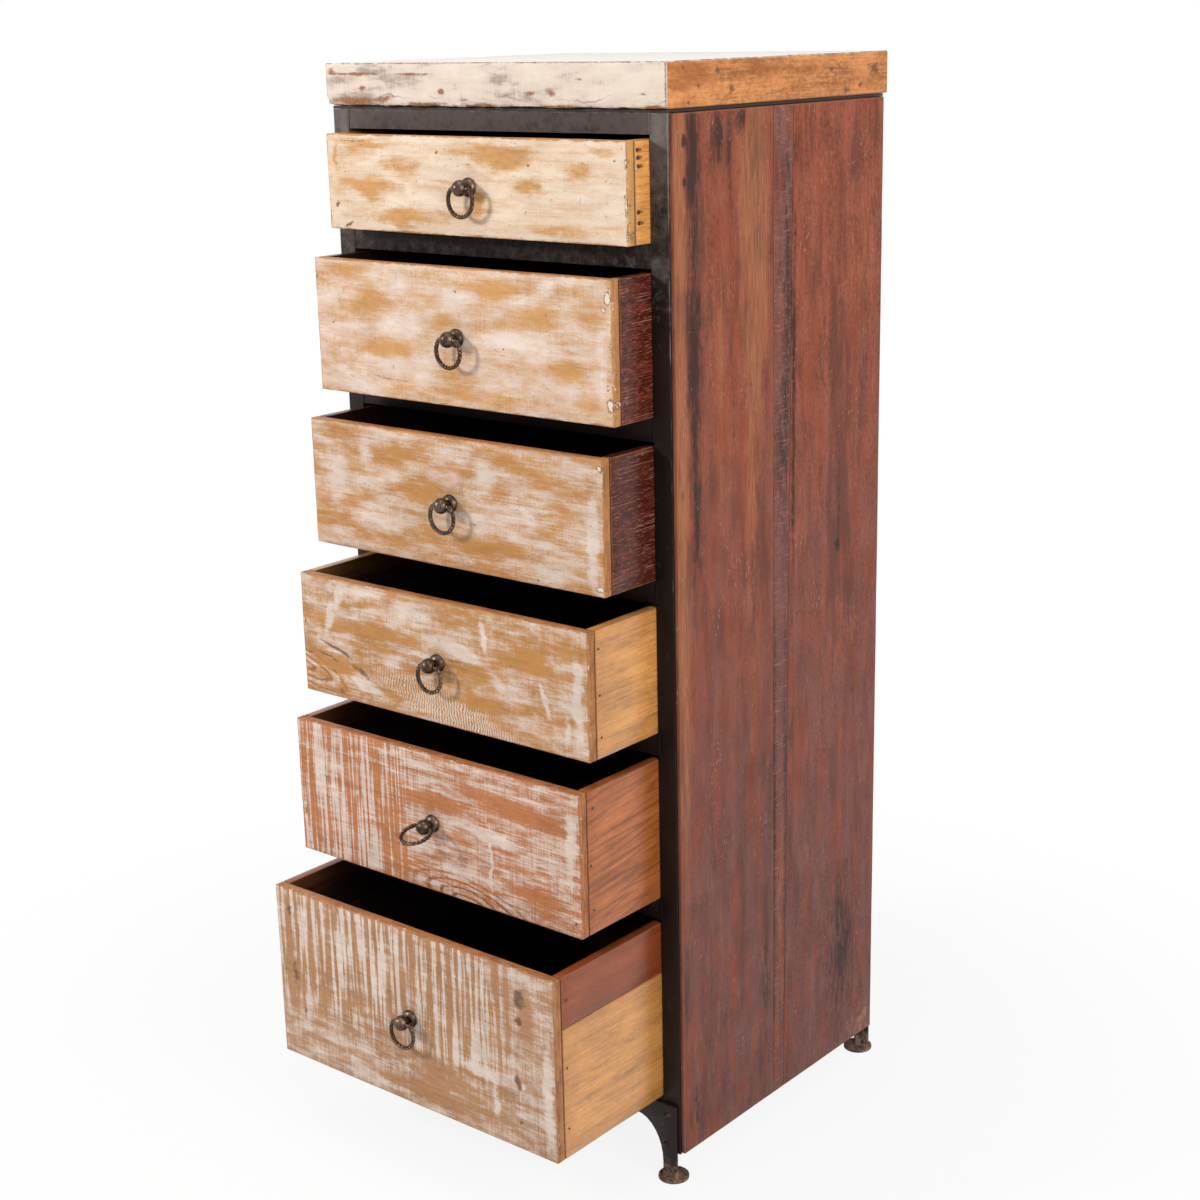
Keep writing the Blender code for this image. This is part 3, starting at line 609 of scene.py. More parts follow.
def slab_finish(low, high, colours):
    """Top slab: thick reclaimed softwood; flaking cream paint on front edge and top, bare knotty ends."""
    material, tree, place = start_finish("flaking_cream_paint_on_reclaimed_pine")
    _, y, z = add(tree, "SeparateXYZ", {0: place}).node.outputs
    wide, deep, tall = high - low
    mix = (0.6, 0.9, 1.0, 1.1)
    wood, fibre = grained(tree, place, Y, colours.slab_wood, 3.0, 1.1, 0.0, 0.52, 1.26, 0.8, mix)
    russet = figure(tree, place, (60, 75, 24), 4.0, 5.0, 0.65)
    wood, _ = coated(tree, wood, linear("9C5828"), russet, 0.44, 0.66, 0.75, **SOFT)
    speck = figure(tree, place, (6, 6, 4), 5.0, 4.0, 0.7)
    knots = [(low.y + u * deep, low.z + v * tall, r, 0.8 * r, 1.3) for u, v, r in SLAB_KNOTS]
    speck = blended(tree, spots(tree, place, on_face(high.x, knots)) + [(speck, -2.4)], 1.2)
    wood, speck = coated(tree, wood, linear("6B4028"), speck, 0.32, 0.95, 0.8, **SOFT)

    # Cream paint with grey smudges, worn off along the edges
    smudge = figure(tree, place, (46, 46, 14), 8.0, 4.0, 0.6)
    rubs = figure(tree, place, (2.2, 2.2, 30), 8.5, 3.0, 0.6)
    dirty = ((low.x + 0.16 * wide, low.y, low.z + 0.5 * tall), (130, THROUGH, 70), FLAT, -0.065)
    smudge = blended(tree, [(rubs, 0.22)] + spots(tree, place, [dirty]), smudge)
    paint = add(
        tree, "ValToRGB", {0: smudge},
        ramp=((0.40, linear("AC988C")), (0.735, linear("E9D8C8")), (0.535, linear("DCCABA"))),
    )

    # The chips, and a crack along the foot
    chips = [
        ((low.x + u * wide, low.y, low.z + v * tall), (ru, THROUGH, rv), FLAT, weight)
        for u, v, ru, rv, weight in SLAB_CHIPS
    ]
    flake = figure(tree, place, (9, 9, 4), 7.0, 6.0, 0.75)
    chip = blended(tree, spots(tree, place, chips) + [(flake, 2.4)], -1.2)
    chip = add(tree, "MapRange", {0: chip, 1: 0.30, 2: 1.15}, **SOFT)
    wave = figure(tree, place, (30, ENDLESS, ENDLESS), 9.0, 4.0, 0.6)
    crack = blended(tree, ((wave, -0.026),), z)
    crack = add(tree, "Math", {0: crack, 1: low.z - 0.0035}, operation="SUBTRACT")
    crack = add(tree, "Math", {0: crack}, operation="ABSOLUTE")
    crack = add(tree, "MapRange", {0: crack, 1: 0.0010, 2: 0.0002})
    broken = figure(tree, place, (55, ENDLESS, ENDLESS), 10.0, 2.0)
    broken = add(tree, "MapRange", {0: broken, 1: 0.46, 2: 0.60, 4: 0.6})
    crack = add(tree, "Math", {0: crack, 1: broken}, operation="MULTIPLY")

    gap = edge_gap(tree, place, low, high)
    worn = blended(tree, ((flake, -4.0),), gap)
    worn = add(tree, "MapRange", {0: worn, 1: -1.6, 2: 0.2}, **SOFT)
    front = add(tree, "MapRange", {0: y, 1: low.y + 0.0034, 2: low.y + 0.0022})
    top = add(tree, "MapRange", {0: z, 1: high.z - 0.0018, 2: high.z - 0.0012})
    raw = add(tree, "ValToRGB", {0: fibre}, ramp=((0.35, linear("7E5238")), (0.65, linear("AE7A54"))))
    rubbed = add(tree, "MapRange", {0: worn, 1: 0.0, 2: 1.0, 3: 0.7, 4: 0.0})
    wood = add(tree, "Mix", {0: rubbed, 6: wood, 7: linear("7A4A2C")}, **TINT)
    bare = add(tree, "Mix", {0: front, 6: wood, 7: raw}, **TINT)
    chip = add(tree, "Math", {0: chip, 1: front}, operation="MULTIPLY")
    crack = add(tree, "Math", {0: crack, 1: front}, operation="MULTIPLY")
    hold = add(tree, "Math", {0: front, 1: top}, operation="MAXIMUM")
    hold = add(tree, "Math", {0: hold, 1: worn}, operation="MULTIPLY")
    hold = add(tree, "Math", {0: hold, 1: chip}, operation="SUBTRACT", use_clamp=True)

    # The top carries the cream paint too, made paler than the front edge as a painted highlight for the strong
    # light on it; it is brushed along the boards and rubbed through to the wood here and there
    stroke = figure(tree, place, (3.2, 130, 60), 12.0, 4.0, 0.6)
    wear = figure(tree, place, (22, 70, 60), 13.0, 5.0, 0.65)
    chalk = add(tree, "ValToRGB", {0: stroke}, ramp=((0.3, linear("F2EBE0")), (0.6, linear("FDFAF5"))))
    through = blended(tree, ((wear, 2.4), (stroke, 1.6)), -2.0)
    chalk, _ = coated(tree, chalk, raw, through, 0.20, 0.70, 0.45, **SOFT)
    pale = add(tree, "Mix", {0: top, 6: paint, 7: chalk}, **TINT)
    colour = add(tree, "Mix", {0: hold, 6: bare, 7: pale}, **TINT)
    colour = add(tree, "Mix", {0: crack, 6: colour, 7: linear("8A5C42")}, **TINT)
    height = blended(tree, ((fibre, 0.4), (hold, 0.8), (speck, -0.5), (crack, -0.8)), 0.0)
    rough = (hold, 0.0, 1.0, 0.5, 0.62)
    return end_finish(material, height, 0.5, colour, rough, gloss=0.25)


def plank_finish(name, tone, along, seed):
    """Hidden boards: rough-sawn timber, dusty and matt, with open grain."""
    material, tree, place = start_finish(name)
    wood, fibre = grained(tree, place, along, tone, seed, 0.8)
    dust_and_sheen = figure(tree, place, (70, 70, 70), seed + 4, 3.0)
    colour, _ = coated(tree, wood, linear("A08C7C"), dust_and_sheen, 0.5, 0.75, 0.3)
    rough = (fibre, 0.3, 0.7, 0.6, 0.75)
    return end_finish(material, fibre, 0.5, colour, rough)


def inside_shade_finish(number, top, wood, colours):
    """Inside of a drawer: painted shade, near black and uneven, almost matt, with painted light turning it
    brown by the top edge.
    """
    material, tree, place = start_finish(f"black_stained_board_{number}")
    soak = figure(tree, place, (45, 160, 6), 2.0 + number, 4.0, 0.6)
    stain = colours.inside_shade_colour
    colour = add(tree, "ValToRGB", {0: soak}, ramp=((0.35, shade(stain, 0.55)), (0.75, shade(stain, 2.2))))
    # Painted light: brown wood near the top edge, fading down into the painted shade
    high = add(tree, "SeparateXYZ", {0: place}, out=2)
    high = blended(tree, ((soak, 0.03),), high)
    colour, _ = coated(tree, colour, shade(wood, 0.32), high, top - 0.020, top + 0.016, 0.6, **SOFT)
    rough = (soak, 0.3, 0.7, 0.62, 0.5)
    return end_finish(material, soak, 0.2, colour, rough, gloss=0.2)


def iron_finish(low, high, colours):
    """Frame: mild steel angle, painted black and waxed; brown-black and scuffed grey, with a painted sheen on
    the upper part, worn paint and painted highlights on the arrises, and painted shade under the slab.
    """
    material, tree, place = start_finish("black_painted_mild_steel")
    cloud = figure(tree, place, (60, 60, 90), 3.0, 4.0, 0.6)
    scuff = figure(tree, place, (9, 9, 9), 4.0, 5.0, 0.7)
    field = figure(tree, place, (90, 90, 90), 5.0, 2.0)
    rubbed = blended(tree, ((field, 0.5),), scuff)
    rubbed = add(tree, "MapRange", {0: rubbed, 1: 0.90, 2: 1.08, 4: 0.35})
    paint = colours.iron_paint
    colour = add(tree, "ValToRGB", {0: cloud}, ramp=((0.3, shade(paint, 0.7)), (0.7, shade(paint, 1.6))))
    # Painted sheen: the upper frame is painted paler, in place of the light that falls on it
    up = add(tree, "SeparateXYZ", {0: place}, out=2)
    dust_and_sheen = blended(tree, ((cloud, 0.12), (scuff, 0.35)), up)
    colour, _ = coated(tree, colour, linear("776B67"), dust_and_sheen, 1.195, 1.415, 0.66, **SOFT)
    colour = add(tree, "Mix", {0: rubbed, 6: colour, 7: linear("7A6E68")}, **TINT)

    # Pale along the outer arrises of the posts, most of all near the top: paint knocked off, and a painted
    # highlight along the edge
    chip = figure(tree, place, (8, 8, 30), 6.0, 4.0, 0.7)
    worn = blended(tree, ((chip, -4.0), (up, -1.8)), edge_gap(tree, place, low, high))
    worn = add(tree, "MapRange", {0: worn, 1: -4.0, 2: -3.1, 3: 0.5, 4: 0.0})
    colour = add(tree, "Mix", {0: worn, 6: colour, 7: linear("A39A94")}, **TINT)

    # Painted shade: the gap above the posts, under the slab, is painted near black
    colour, _ = coated(tree, colour, linear("1A1513"), up, high.z - 0.001, high.z + 0.0006, 0.8)
    height = blended(tree, ((scuff, 0.4), (rubbed, -0.6)), 0.0)
    rough = (cloud, 0.3, 0.7, 0.40, 0.54)
    return end_finish(material, height, 0.12, colour, rough, gloss=0.13)


def foot_finish(colours):
    """Feet and their bolts: cast iron; black where the paint holds, rust brown mostly low down."""
    material, tree, place = start_finish("rusted_cast_iron")
    z = add(tree, "SeparateXYZ", {0: place}, out=2)
    pit = figure(tree, place, (7, 7, 7), 3.0, 5.0, 0.7)
    low = add(tree, "MapRange", {0: z, 1: 0.004, 2: 0.026, 3: 0.45, 4: -0.02})
    rust = blended(tree, ((pit, 1.0),), low)
    rust = add(tree, "MapRange", {0: rust, 1: 0.56, 2: 0.78}, **SOFT)
    tone = colours.foot_rust
    scale = add(tree, "ValToRGB", {0: pit}, ramp=((0.38, shade(tone, 0.25)), (0.60, shade(tone, 1.2))))
    colour = add(tree, "Mix", {0: rust, 6: shade(colours.iron_paint, 1.2), 7: scale}, **TINT)
    rough = (rust, 0.0, 1.0, 0.45, 0.8)
    return end_finish(material, pit, 0.4, colour, rough, gloss=0.2)


def pull_finish(colours):
    """Pulls: cast and forged iron with an aged bronze patina; dark hollows, bright rubbed high spots."""
    material, tree, place = start_finish("aged_bronze_patina_iron")
    pit = figure(tree, place, (3.0, 3.0, 3.0), 3.0, 4.0, 0.65)
    cloud = figure(tree, place, (14, 14, 14), 4.0, 3.0)
    tone = colours.pull_metal
    tally = blended(tree, ((pit, 0.6), (cloud, 0.8)), -0.2)
    colour = add(
        tree, "ValToRGB", {0: tally},
        ramp=((0.3, shade(tone, 0.4)), (0.72, shade(tone, 1.9)), (0.5, shade(tone, 0.85))),
    )
    rough = (pit, 0.3, 0.7, 0.24, 0.44)
    return end_finish(material, pit, 0.18, colour, rough, metal=1.0)


def nail_finish():
    """Nail heads: hammered mild steel, rusted nearly black."""
    material, tree, place = start_finish("rusted_wrought_nail")
    pit = figure(tree, place, (1.2, 1.2, 1.2), 2.0, 3.0)
    colour = add(tree, "ValToRGB", {0: pit}, ramp=((0.3, linear("1E1512")), (0.7, linear("5A463A"))))
    rough = (pit, 0.3, 0.7, 0.45, 0.7)
    return end_finish(material, pit, 0.1, colour, rough, gloss=0.3)


def seen_rays(tree):
    """One for the rays that the eye follows, straight, mirrored or through glass, and nought for others."""
    path = add(tree, "LightPath").node.outputs
    seen = add(tree, "Math", {0: path["Is Camera Ray"], 1: path["Is Glossy Ray"]}, operation="MAXIMUM")
    return add(tree, "Math", {0: seen, 1: path["Is Transmission Ray"]}, operation="MAXIMUM")


def floor_finish():
    """Studio floor: white painted board, seen as a white ground under the shadow of the chest."""
    material, tree, place = start_finish("white_painted_studio_floor")
    tooth = figure(tree, place, (6, 6, 6), 1.0, 2.0)
    colour = add(tree, "ValToRGB", {0: tooth}, ramp=((0.3, linear("F2F2F0")), (0.7, linear("F6F6F5"))))
    board = add(tree, "BsdfPrincipled", {"Base Color": colour, "Roughness": 0.8, "Specular IOR Level": 0.1})
    near = add(tree, "Mapping", {"Vector": place, "Scale": (1 / 1.1, 1 / 1.1, 1.0)})
    near = add(tree, "TexGradient", {0: near}, out="Fac", gradient_type="SPHERICAL")
    glow = add(tree, "MapRange", {0: near, 1: 0.0, 2: 0.6, 3: 1.0, 4: 0.88}, **SOFT)
    share = add(tree, "Math", {0: seen_rays(tree), 1: glow}, operation="MULTIPLY")
    white = add(tree, "Emission", {"Color": WHITE, "Strength": 1.0})
    mixed = add(tree, "MixShader", {0: share, 1: board, 2: white})
    add(tree, "OutputMaterial", {"Surface": mixed})
    return material


def deselect():
    """Leaves edit mode and drops every selection, so that an operator acts on one piece alone."""
    if bpy.context.mode != "OBJECT":
        bpy.ops.object.mode_set(mode="OBJECT")
    bpy.ops.object.select_all(action="DESELECT")


def take(piece):
    """Makes one piece the only one that is selected."""
    deselect()
    piece.select_set(True)
    bpy.context.view_layer.objects.active = piece
    return piece


def named(name):
    """Names the piece that an operator has just added and puts its place in its mesh."""
    bpy.ops.object.transform_apply(location=True, rotation=True, scale=True)
    piece = bpy.context.object
    piece.name = name
    piece.data.name = name
    return piece


def plain_box(name, low, high):
    """A box between two corners, the start of every board."""
    deselect()
    low, high = Vector(low), Vector(high)
    bpy.ops.mesh.primitive_cube_add(size=1.0, location=(low + high) / 2, scale=high - low)
    return named(name)


def choose(piece, kind, test):
    """In edit mode, selects the vertices, edges or faces that pass a test."""
    bpy.ops.mesh.select_mode(type=kind)
    bpy.ops.mesh.select_all(action="DESELECT")
    shape = bmesh.from_edit_mesh(piece.data)
    for part in {"VERT": shape.verts, "EDGE": shape.edges, "FACE": shape.faces}[kind]:
        if test(part):
            part.select_set(True)
    bmesh.update_edit_mesh(piece.data)


def slice_along(piece, axis, pitch):
    """Cuts the long edges that run along an axis into lengths of about the pitch."""
    lengths = []

    def runs(edge):
        span = edge.verts[1].co - edge.verts[0].co
        long = span.length > 0.003 and abs(span[axis]) > 0.97 * span.length
        if long:
            lengths.append(span.length)
        return long

    choose(piece, "EDGE", runs)
    cuts = round(max(lengths, default=0.0) / pitch) - 1
    if cuts > 0:
        bpy.ops.mesh.subdivide(number_cuts=cuts)


def applied(piece, kind, **settings):
    """Adds a modifier with its settings and applies it."""
    take(piece)
    modifier = piece.modifiers.new(kind.title(), kind)
    for key, value in settings.items():
        setattr(modifier, key, value)
    bpy.ops.object.modifier_apply(modifier=modifier.name)


def planed(piece, depth, size):
    """Hollows the faces a little, inwards only, as a hand plane leaves them."""
    cloud = bpy.data.textures.new(f"{piece.name}_planing", "CLOUDS")
    cloud.noise_scale = size
    cloud.noise_depth = 1
    applied(piece, "DISPLACE", texture=cloud, texture_coords="LOCAL", strength=depth, mid_level=1.0)
    bpy.data.textures.remove(cloud)


def board(name, low, high, ease, planing, pitch=(0.012, 0.012, 0.012), moves=()):
    """A board: a box, its corners moved where it tapers, its edges eased, cut into a grid and planed."""
    piece = plain_box(name, low, high)
    take(piece)
    bpy.ops.object.mode_set(mode="EDIT")
    for test, shift in moves:
        choose(piece, "VERT", test)
        bpy.ops.transform.translate(value=shift)
    bpy.ops.mesh.select_mode(type="EDGE")
    bpy.ops.mesh.select_all(action="SELECT")
    bpy.ops.mesh.bevel(offset=ease, segments=2, affect="EDGES")
    for axis in (X, Y, Z):
        slice_along(piece, axis, pitch[axis])
    bpy.ops.object.mode_set(mode="OBJECT")
    planed(piece, planing, 0.06)
    return piece


def cut_away(piece, cutter):
    """Cuts one shape out of a piece."""
    applied(piece, "BOOLEAN", object=cutter, operation="DIFFERENCE", solver="EXACT")
    bpy.data.objects.remove(cutter, do_unlink=True)


def softened(node, name, edge):
    """A copy of a CAD piece with its sharp edges broken, as a file and a coat of paint leave them."""
    take(frame["nodes"][node])
    bpy.ops.object.duplicate()
    piece = bpy.context.object
    piece.name = name
    piece.data.name = name
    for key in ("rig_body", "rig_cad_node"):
        if key in piece:
            del piece[key]
    bpy.ops.object.mode_set(mode="EDIT")
    bpy.ops.mesh.select_all(action="SELECT")
    bpy.ops.mesh.remove_doubles(threshold=0.000002)
    bpy.ops.mesh.customdata_custom_splitnormals_clear()
    bpy.ops.mesh.select_all(action="SELECT")
    bpy.ops.mesh.dissolve_limited(angle_limit=math.radians(0.5))
    bpy.ops.object.mode_set(mode="OBJECT")
    applied(
        piece, "BEVEL", width=edge, segments=2, limit_method="ANGLE", angle_limit=math.radians(40),
        use_clamp_overlap=True,
    )
    return piece


def copied(name, master, places):
    """Sets copies of one small shape at the given places and joins them into one piece."""
    made = []
    for place in places:
        one = master.copy()
        one.data = master.data.copy()
        one.data.transform(place)
        bpy.context.scene.collection.objects.link(one)
        made.append(one)
    deselect()
    for one in made:
        one.select_set(True)
    bpy.context.view_layer.objects.active = made[0]
    if len(made) > 1:
        bpy.ops.object.join()
    made[0].name = name
    made[0].data.name = name
    return made[0]


def settle(piece, body, slot, nodes, *finishes):
    """Shades a finished piece, gives it its finishes and its body, and hides the CAD pieces that it replaces.
    """
    take(piece)
    bpy.ops.object.shade_smooth_by_angle(angle=math.radians(38))
    kept = [face.material_index for face in piece.data.polygons]
    piece.data.materials.clear()
    for finish in finishes:
        piece.data.materials.append(finish)
    for face, index in zip(piece.data.polygons, kept):
        face.material_index = min(index, len(finishes) - 1)
    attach(piece, body)
    if nodes:
        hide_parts(*nodes)
    return piece


def domed_head(name, radius, rise):
    """A hammered round head on the plane z = 0: half a ball, flattened."""
    deselect()
    bpy.ops.mesh.primitive_uv_sphere_add(segments=12, ring_count=8, radius=radius)
    piece = named(name)
    bpy.ops.object.mode_set(mode="EDIT")
    bpy.ops.mesh.select_all(action="SELECT")
    bpy.ops.mesh.bisect(plane_co=(0, 0, 0), plane_no=(0, 0, 1), clear_inner=True, use_fill=True)
    bpy.ops.mesh.select_all(action="SELECT")
    bpy.ops.transform.resize(value=(1.0, 1.0, rise / radius))
    bpy.ops.object.mode_set(mode="OBJECT")
    return piece


def turned(name, profile, steps):
    """A shape turned about the Y axis: a line of points, each a radius and a depth, drawn out and spun."""
    deselect()
    bpy.ops.mesh.primitive_plane_add(size=0.001)
    piece = named(name)
    bpy.ops.object.mode_set(mode="EDIT")
    bpy.ops.mesh.select_mode(type="VERT")
    bpy.ops.mesh.select_all(action="SELECT")
    bpy.ops.mesh.merge(type="CENTER")
    start = Vector((profile[0][0], profile[0][1], 0.0))
    bpy.ops.transform.translate(value=start)
    for radius, depth in profile[1:]:
        point = Vector((radius, depth, 0.0))
        bpy.ops.mesh.extrude_region_move(TRANSFORM_OT_translate={"value": point - start})
        start = point
    bpy.ops.mesh.select_all(action="SELECT")
    bpy.ops.mesh.spin(steps=steps, angle=2 * math.pi, center=(0, 0, 0), axis=(0, 1, 0))
    bpy.ops.mesh.select_all(action="SELECT")
    bpy.ops.mesh.remove_doubles(threshold=0.00001)
    bpy.ops.mesh.normals_make_consistent(inside=False)
    bpy.ops.object.mode_set(mode="OBJECT")
    return piece


# What most drawers share. Each look below adds to it.
PLAIN_LOOK = {
    "paint": "lime_wash", "pale": 0.90, "sway": 1.0, "flakes": (), "whorls": (),
    "bright": 1.0, "weep": 0.0, "tilt": -1.0, "scratches": 0.0, "kept": 0.0,
}
